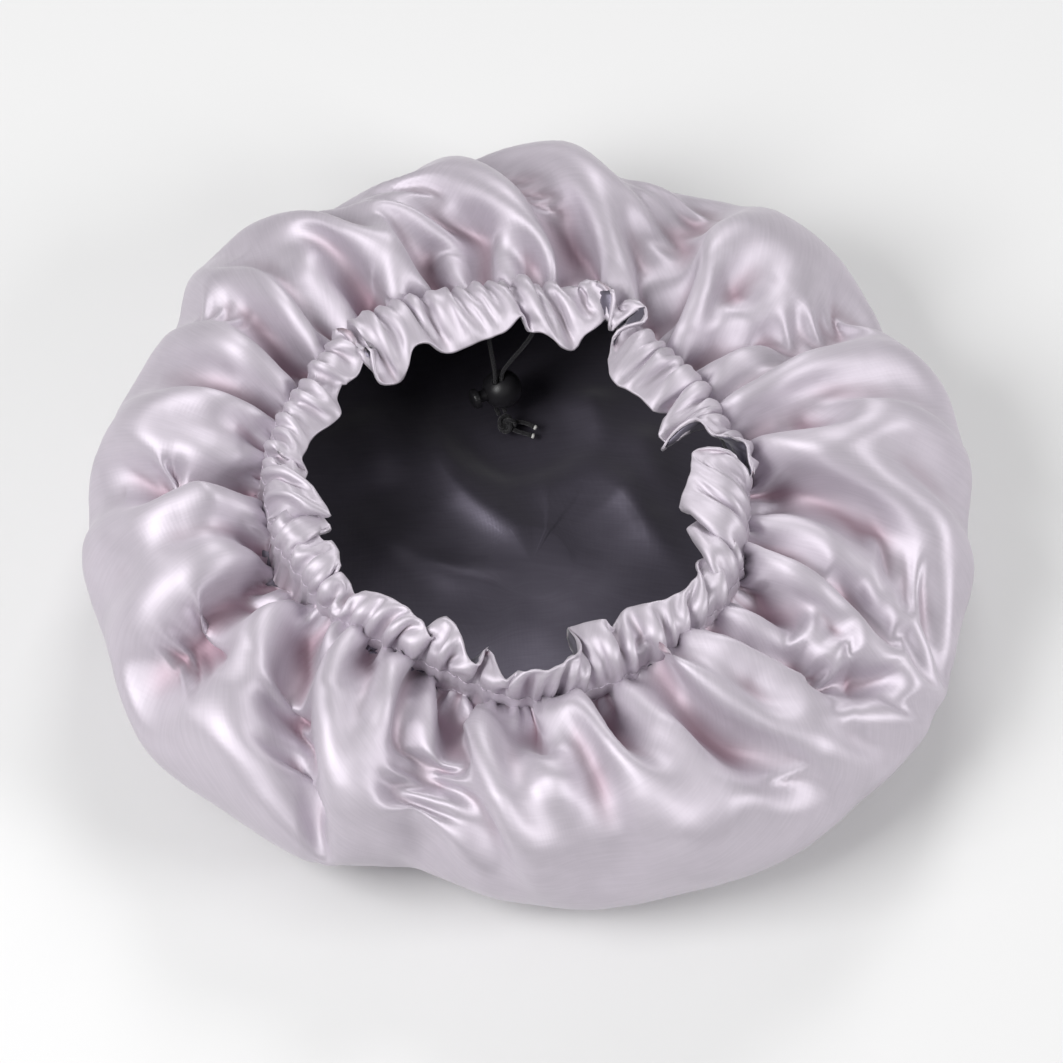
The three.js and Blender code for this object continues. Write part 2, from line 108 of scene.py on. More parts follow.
def tube_grid(path, radius, sides):
    """A round tube along a path: each ring stands square to the path, and each frame is the one before it,
    turned as little as the path turns. Radius is one number or one for each point of the path."""
    path = np.array(path, float)
    tangent = np.gradient(path, axis=0)
    tangent /= np.linalg.norm(tangent, axis=1)[:, None]
    across = np.cross(tangent[0], [0.31, 0.57, 0.76])
    frames = []
    for direction in tangent:
        across = across - direction * (across @ direction)
        across = across / np.linalg.norm(across)
        frames.append(across)
    first = np.array(frames)
    second = np.cross(tangent, first)
    angle = np.linspace(0, 2 * np.pi, sides, endpoint=False)
    ring = np.cos(angle)[None, :, None] * first[:, None] + np.sin(angle)[None, :, None] * second[:, None]
    return path[:, None] + ring * np.broadcast_to(radius, len(path))[:, None, None]


def grid_faces(rows, columns):
    """Four-cornered faces of a grid that closes on itself sideways, wound so that a tube's faces point
    out."""
    row, column = np.meshgrid(np.arange(rows - 1), np.arange(columns), indexing="ij")
    beside = (column + 1) % columns
    corners = [row * columns + column, row * columns + beside,
               (row + 1) * columns + beside, (row + 1) * columns + column]
    return np.stack(corners, axis=-1).reshape(-1, 4)


def add_piece(name, grids, body, material, uvs=None, caps="both"):
    """One mesh of one or more grids of rows and columns. A cap closes an end row by a fan round its middle.
    Each grid has its own UV grid in metres: by default round it and along it."""
    vertices, loops, counts, uv_points = [], [], [], []
    start = 0
    for number, grid in enumerate(grids):
        rows, columns = grid.shape[:2]
        if uvs is None:
            around = np.broadcast_to(np.linspace(0, 1, columns, endpoint=False), (rows, columns))
            steps = np.linalg.norm(np.diff(grid.mean(axis=1), axis=0), axis=1)
            along = np.concatenate([[0], np.cumsum(steps)])[:, None]
            uv = np.stack([around, np.broadcast_to(along, (rows, columns))], axis=-1)
        else:
            uv = uvs[number]
        points = [grid.reshape(-1, 3)]
        uv_list = [uv.reshape(-1, 2)]
        quads = grid_faces(rows, columns) + start
        loops.append(quads.ravel())
        counts.append(np.full(len(quads), 4))
        total = rows * columns
        for end, wanted in ((0, caps in ("both", "first")), (rows - 1, caps in ("both", "last"))):
            if not wanted:
                continue
            points.append(grid[end].mean(axis=0)[None])
            uv_list.append(uv[end].mean(axis=0)[None])
            here = start + end * columns + np.arange(columns)
            beside = np.roll(here, -1)
            middle = np.full(columns, start + total)
            fan = (middle, beside, here) if end == 0 else (middle, here, beside)
            loops.append(np.stack(fan, axis=-1).ravel())
            counts.append(np.full(columns, 3))
            total += 1
        vertices.append(np.vstack(points))
        uv_points.append(np.vstack(uv_list))
        start += total
    vertices = np.vstack(vertices)
    corners = np.concatenate(loops)
    sizes = np.concatenate(counts)
    mesh = bpy.data.meshes.new(name)
    mesh.vertices.add(len(vertices))
    mesh.vertices.foreach_set("co", vertices.ravel().astype(np.float32))
    mesh.loops.add(len(corners))
    mesh.loops.foreach_set("vertex_index", corners.astype(np.int32))
    mesh.polygons.add(len(sizes))
    mesh.polygons.foreach_set("loop_start", np.concatenate([[0], np.cumsum(sizes)[:-1]]).astype(np.int32))
    mesh.polygons.foreach_set("loop_total", sizes.astype(np.int32))
    mesh.update(calc_edges=True)
    layer = mesh.uv_layers.new(name="cloth")
    layer.data.foreach_set("uv", np.vstack(uv_points)[corners].ravel().astype(np.float32))
    mesh.polygons.foreach_set("use_smooth", np.ones(len(sizes), bool))
    mesh.materials.append(material)
    piece = bpy.data.objects.new(name, mesh)
    bpy.context.scene.collection.objects.link(piece)
    if body:
        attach(piece, body)
    return piece


def new_material(name, colour, roughness, **sockets):
    """A Principled material with its plain values on the shader's own sockets."""
    material = bpy.data.materials.new(name)
    material.use_nodes = True
    shader = material.node_tree.nodes["Principled BSDF"]
    shader.inputs["Base Color"].default_value = (*colour, 1)
    shader.inputs["Roughness"].default_value = roughness
    for socket, value in sockets.items():
        shader.inputs[socket.replace("_", " ")].default_value = value
    return material, material.node_tree, shader


def add_node(tree, kind, inputs=None, **settings):
    """A node with its settings and its inputs, each a value or the output that feeds it."""
    node = tree.nodes.new(kind)
    for name, value in settings.items():
        setattr(node, name, value)
    for socket, value in (inputs or {}).items():
        if isinstance(value, bpy.types.NodeSocket):
            tree.links.new(value, node.inputs[socket])
        else:
            node.inputs[socket].default_value = value
    return node


def math_node(tree, operation, first, second=0.0):
    """The result of one sum."""
    return add_node(tree, "ShaderNodeMath", {0: first, 1: second}, operation=operation).outputs[0]


def add_bump(tree, shader, height, strength, distance):
    """A height that turns the shader's normal."""
    bump = add_node(tree, "ShaderNodeBump", {"Strength": strength, "Distance": distance, "Height": height})
    tree.links.new(bump.outputs[0], shader.inputs["Normal"])


def braid_material(name, colour):
    """Braided elastic: two families of yarns that wind round the cord in opposite turns, as bumps and as
    darker gaps, with fine fuzz over them."""
    material, tree, shader = new_material(name, colour, 0.62, Sheen_Weight=0.25)
    uv = add_node(tree, "ShaderNodeUVMap", uv_map="cloth").outputs[0]
    split = add_node(tree, "ShaderNodeSeparateXYZ", {0: uv})
    yarns = 6
    turns_per_metre = 330
    yarn_depth = 0.25 * MM
    gap_shade_share = 0.35
    waves = []
    for hand in (1, -1):
        around = math_node(tree, "MULTIPLY", split.outputs[0], 2 * np.pi * yarns)
        along = math_node(tree, "MULTIPLY", split.outputs[1], hand * 2 * np.pi * turns_per_metre)
        waves.append(math_node(tree, "SINE", math_node(tree, "ADD", around, along)))
    yarn = math_node(tree, "MAXIMUM", *waves)
    share = add_node(tree, "ShaderNodeMapRange", {0: yarn, 1: -0.6, 2: 1.0}).outputs[0]
    dark = tuple(gap_shade_share * value for value in colour) + (1,)
    mix = add_node(tree, "ShaderNodeMix", {0: share, 6: dark, 7: (*colour, 1)}, data_type="RGBA")
    tree.links.new(mix.outputs[2], shader.inputs["Base Color"])
    add_bump(tree, shader, share, 0.7, yarn_depth)
    return material


elastic = braid_material("braided_elastic", (0.030, 0.028, 0.033))
exit_routes = {
    "left": [[-43.5, 79.2, 73], [-38, 80.5, 73], [-31.8, 81.8, 73], [-27, 82.1, 73],
             [-23, 81, 72.6], [-20.2, 78.4, 71.6], [-18.7, 75.8, 69.6], [-18.4, 74.6, 67]],
    "right": [[20.8, 83.3, 73], [16, 84, 73], [11, 83.9, 73], [6.5, 82.4, 72.8],
              [3, 79.4, 71.8], [1, 76.8, 70.4], [0.3, 75.2, 68.8], [0.2, 74.6, 67]],
}
upper_routes = {
    "left": [[-18.4, 74.6, 66.7], [-18.2, 74.6, 64], [-17.4, 74, 56],
             [-16.2, 73, 46], [-15.5, 72.4, 39], [-15.32, 72.23, 34.5]],
    "right": [[0.2, 74.6, 66.7], [-0.2, 74.6, 64], [-3.6, 74.4, 56],
              [-8.8, 74, 46], [-12, 73.6, 39], [-12.78, 73.42, 34.5]],
}
lower_routes = {
    "left": [[-15.32, 72.23, 34.2], [-15.32, 72.23, 26], [-15.32, 72.23, 17.4],
             [-15, 71, 14.6], [-13.8, 69.4, 12.6]],
    "right": [[-12.78, 73.42, 34.2], [-12.78, 73.42, 26], [-12.78, 73.42, 17.4],
              [-12.4, 72, 15.2], [-11.2, 70.2, 13.4]],
}
tail_routes = {
    "left": [[-7.75, 67.9, 9], [-4.8, 68.5, 8.3], [-1.8, 68.2, 7.4], [0.6, 67.2, 6.8]],
    "right": [[-8.15, 64.9, 8], [-5.4, 64.4, 7], [-2.4, 63.9, 6.2], [-0.4, 63.4, 5.8]],
}
cord_sides = 16
cord_step = 0.35 * MM
strand_radius = 0.9 * MM
cord_pieces = {}
for side in ("left", "right"):
    for part, routes in (("exit", exit_routes), ("upper", upper_routes), ("lower", lower_routes),
                         ("tail", tail_routes)):
        route = drawn(routes[side])
        rings = max(8, int(curve_length(route) / cord_step))
        path = smooth_curve(route, rings)
        name = f"elastic_{part}_{side}"
        piece = add_piece(name, [tube_grid(path, strand_radius, cord_sides)], None, elastic)
        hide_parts(f"cord_{part}_{side}")
        cord_pieces[part, side] = piece

for side in ("left", "right"):
    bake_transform(cord_pieces["exit", side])
    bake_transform(cord_pieces["upper", side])
    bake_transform(cord_pieces["lower", side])
    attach(cord_pieces["tail", side], "cord_end")

# Knot and ends: the two strands are tied together in one overhand knot below the lock, and their short ends
# are cut and fused, so that the white rubber core shows.
knot_centre = drawn([-10.8, 67, 9.6])
knot_steps = 150
knot_turn = np.linspace(0, 2 * np.pi, knot_steps)
knot_size = 1.02 * MM
knot_lean = np.radians(35)
knot_rise = 1.5 * MM
knot_split = 0.62 * MM


def overhand(turn, offset):
    """Trefoil: twice round the middle while the radius and the height swing three times, moved sideways for
    the second strand."""
    reach = knot_size * (2.0 + 0.9 * np.cos(3 * turn)) + offset
    return np.stack([reach * np.cos(2 * turn), reach * np.sin(2 * turn),
                     knot_rise * np.sin(3 * turn) + offset], axis=-1)


lean_turn = np.array([[1, 0, 0], [0, np.cos(knot_lean), np.sin(knot_lean)],
                      [0, -np.sin(knot_lean), np.cos(knot_lean)]])
upright_turn = np.array([[1, 0, 0], [0, 0, -1], [0, 1, 0]])
knot_grids = []
for offset in (-knot_split, knot_split):
    path = overhand(knot_turn, offset) @ upright_turn.T @ lean_turn.T + knot_centre
    knot_grids.append(tube_grid(path, 0.92 * strand_radius, cord_sides))
knot = add_piece("overhand_knot", knot_grids, "cord_end", elastic)
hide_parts("cord_knot")


def object_noise(tree, scale, detail):
    """Noise on the object's own coordinates, in metres."""
    place = add_node(tree, "ShaderNodeTexCoord").outputs["Object"]
    noise = add_node(tree, "ShaderNodeTexNoise", {"Vector": place, "Scale": scale, "Detail": detail})
    return noise.outputs[0]


fused, fused_tree, fused_shader = new_material("fused_core", (0.86, 0.85, 0.82), 0.45)
add_bump(fused_tree, fused_shader, object_noise(fused_tree, 2600.0, 3.0), 0.5, 0.15 * MM)
tip_gap = 0.3 * MM
tip_profile = np.array([[0, 0.9], [0.25, 1.06], [0.7, 1.1], [1.05, 0.95], [1.2, 0.6]]) * MM
for side in ("left", "right"):
    tail = smooth_curve(drawn(tail_routes[side]), 30)
    along = tail[-1] - tail[-2]
    along /= np.linalg.norm(along)
    path = tail[-1] + along * (tip_gap + tip_profile[:, :1])
    tip = add_piece(f"fused_tip_{side}", [tube_grid(path, tip_profile[:, 1], cord_sides)], "cord_end",
                    fused)
    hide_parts(f"cord_tip_{side}")

# Ball lock: a moulded ball with a slot for both strands, a plunger that pins them in a socket, and a spring.
# The plunger points to the left and a little towards the front.
lock_yaw = np.radians(25)
ball_centre = (lock_low + lock_high) / 2
yaw_turn = np.array([[np.cos(lock_yaw), -np.sin(lock_yaw), 0],
                     [np.sin(lock_yaw), np.cos(lock_yaw), 0], [0, 0, 1]])
slot_ends = (-3.0 * MM, -0.2 * MM)
slot_half, slot_rim, slot_depth = 1.15 * MM, 1.55 * MM, 2.6 * MM
socket_radius, socket_rim, socket_depth = 2.6 * MM, 3.0 * MM, 2.2 * MM
parting_half, parting_depth = 0.12 * MM, 0.06 * MM


def vary_roughness(tree, shader, noise, low, high):
    """Roughness between two values, by a noise."""
    spread = add_node(tree, "ShaderNodeMapRange", {0: noise, 3: low, 4: high})
    tree.links.new(spread.outputs[0], shader.inputs["Roughness"])


plastic, plastic_tree, plastic_shader = new_material("moulded_plastic", (0.022, 0.021, 0.024), 0.36)
add_bump(plastic_tree, plastic_shader, object_noise(plastic_tree, 2400.0, 4.0), 0.25, 0.05 * MM)
vary_roughness(plastic_tree, plastic_shader, object_noise(plastic_tree, 240.0, 6.0), 0.3, 0.46)


def smoothstep(low, high, value):
    """0 below low, 1 above high, and a cubic without corners between them."""
    share = np.clip((value - low) / (high - low), 0, 1)
    return share * share * (3 - 2 * share)


def ball_surface(latitude, longitude):
    """A ball whose parting line is a fine groove round its middle, with the ends of the strands' slot and the
    plunger's socket pressed in: the radius drops where the distance from the slot's or socket's line is
    small."""
    direction = np.stack([np.cos(latitude) * np.cos(longitude), np.cos(latitude) * np.sin(longitude),
                          np.sin(latitude)], axis=-1)
    point = ball_radius * direction
    along_slot = np.clip(point[..., 0], *slot_ends)
    slot_distance = np.hypot(point[..., 0] - along_slot, point[..., 1])
    slot = 1 - smoothstep(slot_half, slot_rim, slot_distance)
    socket_distance = np.hypot(point[..., 1], point[..., 2])
    socket = (1 - smoothstep(socket_radius, socket_rim, socket_distance)) * (point[..., 0] < 0)
    parting = np.exp(-(point[..., 1] / parting_half) ** 2)
    depth = slot_depth * slot + socket_depth * socket + parting_depth * parting
    return direction * (ball_radius - depth)[..., None]


ball_rings, ball_sides = 130, 192
ball_latitude, ball_longitude = np.meshgrid(np.linspace(-np.pi / 2, np.pi / 2, ball_rings)[1:-1],
                                            np.linspace(0, 2 * np.pi, ball_sides, endpoint=False),
                                            indexing="ij")
ball = add_piece("lock_ball", [ball_surface(ball_latitude, ball_longitude) @ yaw_turn.T + ball_centre],
                 "lock", plastic)
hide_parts("lock_body")

# Plunger: a stem in the ball's socket with a rounded, ribbed cap, of the same black plastic. Its turned
# profile holds the reach from the ball's centre and the radius.
plunger_profile = np.array([
    [14.0, 0.01], [14.0, 2.9], [13.8, 3.5], [13.3, 4.1], [12.7, 4.33], [12.0, 4.35], [11.4, 4.33],
    [11.1, 4.15], [11.0, 3.7], [11.0, 2.7], [10.8, 2.5], [8.0, 2.5], [6.7, 2.5], [6.5, 2.3], [6.5, 0.01],
]) * MM


def turned_surface(profile, sides, ribs, rib_depth, rib_from, rib_to):
    """A profile of reach and radius turned about its own axis, which points to the left, with shallow ribs
    where the reach lies between two values."""
    angle = np.linspace(0, 2 * np.pi, sides, endpoint=False)
    reach = np.broadcast_to(profile[:, :1], (len(profile), sides))
    ribbed = (reach > rib_from) & (reach < rib_to)
    radius = profile[:, 1:] - ribbed * rib_depth * (0.5 - 0.5 * np.cos(ribs * angle))
    return np.stack([-reach, radius * np.cos(angle), radius * np.sin(angle)], axis=-1)


plunger_surface = turned_surface(plunger_profile, sides=96, ribs=24, rib_depth=0.12 * MM,
                                 rib_from=11.3 * MM, rib_to=12.9 * MM)
plunger = add_piece("lock_button", [plunger_surface @ yaw_turn.T + ball_centre], "plunger",
                    plastic)
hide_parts("lock_plunger")

# Spring: three curls of steel wire in the socket, between the ball and the plunger's stem. It can't be seen
# while the plunger is in its place.
steel, steel_tree, steel_shader = new_material("spring_wire", (0.56, 0.57, 0.59), 0.28, Metallic=1.0)
vary_roughness(steel_tree, steel_shader, object_noise(steel_tree, 1800.0, 2.0), 0.2, 0.36)
spring_curls, spring_steps = 3, 120
spring_radius, wire_radius = 1.47 * MM, 0.225 * MM
spring_from, spring_to = 3.6 * MM, 6.3 * MM
spring_turn = np.linspace(0, spring_curls * 2 * np.pi, spring_steps)
spring_path = np.stack([np.linspace(spring_from, spring_to, spring_steps),
                        spring_radius * np.cos(spring_turn), spring_radius * np.sin(spring_turn)],
                       axis=-1) @ yaw_turn.T + ball_centre
spring = add_piece("lock_coil", [tube_grid(spring_path, wire_radius, 8)], "lock", steel)
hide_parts("lock_spring")

for side in ("left", "right"):
    others = [cord_pieces[part, side] for part in ("exit", "lower", "tail")]
    others += [bpy.data.objects[f"fused_tip_{side}"]]
    if side == "left":
        others += [knot, ball, plunger, spring]

# Outer panel: a disc of silver-lilac polyester satin. It lies crown down, its puffed sides are drawn in to
# the casing between two stitch rows, and it turns over at the lip of the ruffle, where the lining is sewn on.
columns = 480
gather_centre = drawn([-6, -8, 0])
bag_centre = drawn([0, 0, 0])
stitch_radius = 96 * MM
stitch_height = 69 * MM
casing_width = 8 * MM
ruffle_width = 18 * MM
crease_depth = 7 * MM
swell_height = 5 * MM
outline_shares = [
    1.0, 1.01, 0.98, 1.0, 0.985, 0.965, 0.995, 0.97, 0.985, 1.035, 0.98, 0.99,
    1.0, 1.025, 1.04, 1.025, 1.035, 0.965, 0.995, 1.015, 1.04, 1.04, 1.055, 1.02,
]
# How far the gathered ring gives from its circle, in millimetres, every 15 degrees from the right
# anticlockwise
ring_gives = [-4, -7, -8, -8, -4, 0, 0, 1, 5, 6, 4, 5, 6, 4, 1, -1, -4, -2, 5, 6, 4, 3, 3, -1]
# Each crease: azimuth at the casing, azimuth at the widest, depth share, swell share of the puff after it
creases = np.array([
    [20, 14, 0.6, 0.3], [39, 35, 0.8, 0.8], [58, 66, 0.8, 0.2], [80, 100, 0.6, 0.5],
    [106, 122, 0.5, 0.2], [131, 139, 0.7, 0.6], [158, 160, 0.4, 0.4], [178, 178, 0.5, 0.2],
    [192, 193, 0.8, 0.7], [206, 213, 0.7, 0.3], [220, 239, 1.0, 0.2], [248, 256, 0.8, 0.6],
    [274, 278, 0.5, 0.4], [302, 311, 0.8, 0.9], [320, 325, 0.7, 0.1], [348, 338, 0.7, 0.8],
])
meridian = np.array([
    [0, 0], [60, 0], [112, 0], [140, 2.5], [160, 9], [174, 21], [180, 36],
    [177, 52], [167, 67], [150, 77], [133, 80], [116, 77], [103, 72], [96, 69],
]) * MM
# Single folds, read off the photo. Each has its height in millimetres (less than nothing presses in), how
# round its bottom or top is, how far it spreads to its left and to its right as it runs out from the ring,
# and its line in columns and rows of the camera's square picture, which is 1063 wide.
folds = [
    (-6, 1, 12, 4, [(283, 560), (229, 588), (185, 625), (155, 647), (105, 666)]),
    (4.5, 1, 14, 7, [(285, 580), (261, 610), (229, 653), (203, 690), (183, 720), (164, 753)]),
    (-3.5, 6, 8, 8, [(235, 620), (220, 636), (195, 660), (170, 681)]),
    (-9, 1, 4, 13, [(311, 592), (304, 651), (297, 686), (296, 716), (301, 755), (309, 799), (323, 872)]),
    (4, 3, 10, 5, [(322, 592), (316, 651), (310, 686), (309, 716), (315, 755), (324, 799), (332, 842)]),
    (-4, 5, 8, 8, [(294, 681), (280, 705), (263, 729)]),
    (2.5, 1, 4, 4, [(374, 603), (370, 636), (361, 679), (339, 723), (331, 755)]),
    (-4, 1.5, 5, 5, [(378, 642), (365, 699), (350, 744), (346, 777)]),
    (2.5, 1, 5, 4, [(384, 650), (379, 700), (364, 750), (354, 779)]),
    (-5, 0.8, 4, 4, [(444, 656), (441, 693), (439, 741), (435, 795), (453, 831)]),
    (2.5, 1, 3, 6, [(437, 656), (433, 700), (431, 741), (429, 790)]),
    (-2.5, 2, 3, 3, [(463, 705), (459, 725), (459, 750)]),
    (-3.5, 1, 6, 4, [(477, 690), (484, 710), (506, 722), (530, 741)]),
    (-4, 3, 6, 9, [(447, 775), (468, 800), (500, 838), (520, 870)]),
    (4.5, 1, 14, 7, [(453, 778), (482, 804), (516, 838), (535, 867), (550, 900)]),
    (2.5, 1.5, 14, 14, [(487, 799), (574, 775), (603, 765), (637, 765)]),
    (-4, 4, 6, 7, [(602, 705), (612, 735), (622, 750)]),
    (3, 1.5, 5, 9, [(554, 710), (586, 741), (613, 765)]),
    (4.5, 3, 10, 10, [(647, 668), (683, 688), (719, 712), (760, 736), (800, 760)]),
    (-5, 4, 8, 7, [(668, 706), (710, 735), (770, 790)]),
    (2, 1.5, 6, 6, [(645, 712), (700, 745), (757, 805), (790, 812)]),
    (-5, 3, 8, 8, [(728, 655), (740, 673), (766, 705), (792, 720), (822, 725)]),
    (-6, 1, 12, 5, [(748, 588), (787, 626), (816, 658), (828, 682), (845, 720), (858, 749)]),
    (-7, 1, 12, 4, [(784, 576), (828, 611), (857, 635), (866, 664), (864, 708), (860, 737)]),
    (-3.5, 6, 8, 8, [(880, 655), (890, 700)]),
    (4.5, 1.5, 8, 8, [(740, 550), (804, 585), (857, 623), (898, 658), (921, 681), (942, 696)]),
    (-3, 1, 6, 5, [(828, 550), (863, 588), (904, 629), (936, 681)]),
    (-5, 1, 8, 6, [(743, 476), (766, 488), (792, 488), (845, 506), (898, 523), (955, 550)]),
    (2.5, 0.8, 6, 6, [(875, 497), (904, 517), (933, 538), (955, 553)]),
    (4, 0.8, 14, 5, [(751, 444), (787, 453), (822, 462), (863, 453), (901, 443), (955, 457)]),
    (-4.5, 3, 6, 5, [(778, 423), (816, 426), (851, 438)]),
    (-7, 1, 10, 4, [(745, 372), (764, 362), (801, 346), (841, 324), (847, 311), (855, 295)]),
    (-4.5, 4, 8, 8, [(712, 262), (735, 288), (770, 308)]),
    (1.8, 1, 4, 4, [(705, 246), (710, 284), (731, 308), (774, 316)]),
    (-6, 1.2, 4, 5, [(651, 335), (648, 300), (643, 262)]),
    (4, 2, 6, 6, [(656, 337), (651, 284), (654, 244), (667, 220)]),
    (-4, 1, 4, 4, [(662, 354), (675, 316), (678, 289)]),
    (-3, 3, 4, 4, [(695, 352), (705, 335), (706, 320)]),
    (-4.5, 1, 8, 5, [(597, 292), (587, 257), (576, 238), (560, 185)]),
    (-6, 1, 9, 4, [(367, 315), (371, 280), (372, 258)]),
    (3.5, 2, 6, 8, [(385, 300), (390, 260), (384, 222), (360, 204)]),
    (-6, 3, 9, 9, [(568, 299), (526, 261), (485, 228), (428, 203), (384, 195)]),
    (4.5, 3, 8, 10, [(575, 292), (540, 254), (505, 214), (450, 176)]),
    (-4, 0.8, 5, 4, [(455, 294), (447, 277), (439, 250), (425, 230)]),
    (-2.5, 0.8, 4, 4, [(480, 272), (469, 252), (430, 233)]),
    (-6, 3, 8, 10, [(324, 398), (315, 387), (285, 348), (260, 313), (211, 277)]),
    (3.5, 4, 9, 9, [(340, 375), (310, 330), (280, 298), (235, 262)]),
    (-5, 4, 6, 6, [(318, 318), (308, 325)]),
    (2, 2, 8, 8, [(285, 384), (249, 362), (214, 357), (206, 373)]),
    (4.5, 0.8, 8, 8, [(240, 527), (227, 524), (205, 513), (186, 491), (164, 469)]),
    (-5, 2, 5, 9, [(271, 485), (243, 487), (219, 480), (194, 456)]),
    (-4, 4, 8, 6, [(201, 524), (173, 491), (136, 476), (112, 454)]),
    (3, 1, 10, 10, [(262, 533), (227, 541), (182, 554), (136, 559), (107, 554)]),
    (-4, 2, 4, 4, [(275, 545), (251, 556)]),
    (3, 4, 9, 9, [(180, 445), (140, 440), (108, 450)]),
    (3, 3, 10, 8, [(750, 410), (800, 405), (880, 420), (925, 398)]),
    (3, 1.2, 10, 8, [(690, 800), (650, 860), (640, 895)]),
    (2.5, 1, 8, 8, [(600, 775), (640, 830), (655, 860)]),
    (-3, 4, 8, 8, [(400, 700), (420, 760), (425, 830)]),
    (2.5, 1.5, 8, 8, [(705, 760), (720, 820), (700, 870)]),
    (-4, 3, 7, 7, [(650, 280), (640, 240), (610, 200)]),
]
# The ruffle's lip, read off the photo: column and row in the picture, and height in millimetres
lip_places = [
    (340, 384, 80), (336, 398, 80), (341, 413, 82), (329, 424, 80), (314, 434, 80), (307, 446, 82),
    (301, 460, 84), (306, 471, 80), (303, 485, 84), (312, 487, 88), (321, 498, 90), (329, 517, 88),
    (300, 512, 78), (305, 500, 80), (329, 526, 84), (316, 532, 84), (323, 541, 84), (332, 541, 86),
    (339, 554, 88), (338, 567, 88), (329, 576, 84), (340, 572, 88), (349, 582, 86), (354, 595, 82),
    (366, 591, 88), (389, 597, 92), (405, 608, 93), (420, 621, 93), (432, 640, 88), (438, 628, 86),
    (445, 616, 90), (458, 630, 93), (464, 654, 90), (479, 666, 88), (487, 648, 84), (494, 664, 88),
    (506, 682, 90), (516, 673, 90), (523, 672, 95), (550, 671, 95), (569, 661, 95), (581, 652, 93),
    (577, 640, 88), (567, 630, 84), (586, 623, 90), (605, 620, 92), (613, 630, 88), (622, 612, 88),
    (640, 605, 90), (658, 602, 90), (678, 594, 88), (696, 579, 88), (699, 563, 86), (710, 553, 82),
    (693, 538, 86), (687, 529, 88), (702, 517, 80), (685, 513, 86), (680, 505, 88), (691, 473, 90),
    (696, 451, 90), (731, 454, 92), (744, 478, 84), (751, 474, 88), (745, 440, 92), (719, 437, 92),
    (705, 424, 92), (695, 418, 92), (678, 429, 88), (662, 448, 84), (667, 442, 82), (659, 434, 84),
    (663, 420, 84), (670, 412, 80), (654, 410, 84), (640, 395, 84), (624, 387, 84), (611, 376, 82),
    (610, 350, 80), (618, 330, 84), (645, 322, 88), (645, 306, 90), (625, 318, 84), (611, 330, 80),
    (615, 300, 88), (612, 288, 90), (602, 296, 86), (606, 315, 82), (597, 326, 80), (583, 335, 80),
    (575, 348, 76), (563, 346, 80), (543, 332, 84), (530, 330, 82), (522, 314, 88), (505, 330, 84),
    (480, 340, 82), (448, 352, 76), (430, 342, 82), (414, 346, 84), (405, 372, 80), (397, 382, 74),
    (380, 380, 78), (372, 352, 84), (366, 350, 84), (358, 372, 80), (345, 384, 80),
]
rng = np.random.default_rng(11)


def periodic(values, azimuth):
    """A closed cubic curve through values at equal steps of azimuth, in degrees."""
    values = np.array(values, float)
    place = np.mod(azimuth, 360) / 360 * len(values)
    first = np.floor(place).astype(int)
    share = place - first
    a, b, c, d = (values[(first + k) % len(values)] for k in (-1, 0, 1, 2))
    return 0.5 * (2 * b + (c - a) * share + (2 * a - 5 * b + 4 * c - d) * share**2
                  + (3 * b - a - 3 * c + d) * share**3)


def grid_normals(grid):
    """Unit normals of a grid that closes sideways: the cross product of the steps across and along it."""
    across = np.roll(grid, -1, axis=1) - np.roll(grid, 1, axis=1)
    along = np.gradient(grid, axis=0)
    normal = np.cross(across, along)
    return normal / np.maximum(np.linalg.norm(normal, axis=-1, keepdims=True), 1e-12)


def soften(values, rounds):
    """Each round moves every value of a grid halfway to the mean of its neighbours along the rows and
    columns."""
    for _ in range(rounds):
        padded = np.concatenate([values[:1], values, values[-1:]])
        sideways = np.roll(values, 1, axis=1) + np.roll(values, -1, axis=1)
        values = 0.5 * values + 0.125 * (padded[:-2] + padded[2:] + sideways)
    return values


camera_right = np.array([1.0, 0, 0])
camera_up = np.cross(camera_away, camera_right)
camera_eye = camera_target + camera_distance * camera_away
picture_size = 1063
picture_scale = camera_lens / camera_sensor * picture_size


def picture_places(points):
    """Column and row of points in the camera's picture: their shift across and up, over their distance."""
    seen = points - camera_eye
    distance = -(seen @ camera_away)
    return np.stack([picture_size / 2 + picture_scale * (seen @ camera_right) / distance,
                     picture_size / 2 - picture_scale * (seen @ camera_up) / distance], axis=-1)


def points_at_height(places):
    """Where the camera's rays through picture places meet given heights, in millimetres."""
    places = np.array(places, float)
    ray = (-camera_away + camera_right * (places[:, :1] - picture_size / 2) / picture_scale
           - camera_up * (places[:, 1:2] - picture_size / 2) / picture_scale)
    reach = (places[:, 2:] * MM - camera_eye[2]) / ray[:, 2:]
    return camera_eye + reach * ray


column_share = np.arange(columns) / columns
ring_azimuth = creases[0, 0] + 360 * column_share
crease_ring = np.append(creases[:, 0], creases[0, 0] + 360)
crease_wide = np.append(creases[:, 1], creases[0, 1] + 360)
wide_azimuth = np.interp(ring_azimuth, crease_ring, crease_wide)
puff_number = np.clip(np.searchsorted(crease_ring, ring_azimuth, side="right") - 1, 0, len(creases) - 1)
puff_span = crease_ring[puff_number + 1] - crease_ring[puff_number]
puff_share = (ring_azimuth - crease_ring[puff_number]) / puff_span
puff_skew = rng.uniform(0.72, 1.35, len(creases))[puff_number]
depth_here = creases[puff_number, 2]
depth_next = creases[(puff_number + 1) % len(creases), 2]
puff_swell = creases[puff_number, 3]
ring_reach = stitch_radius + periodic(ring_gives, ring_azimuth) * MM

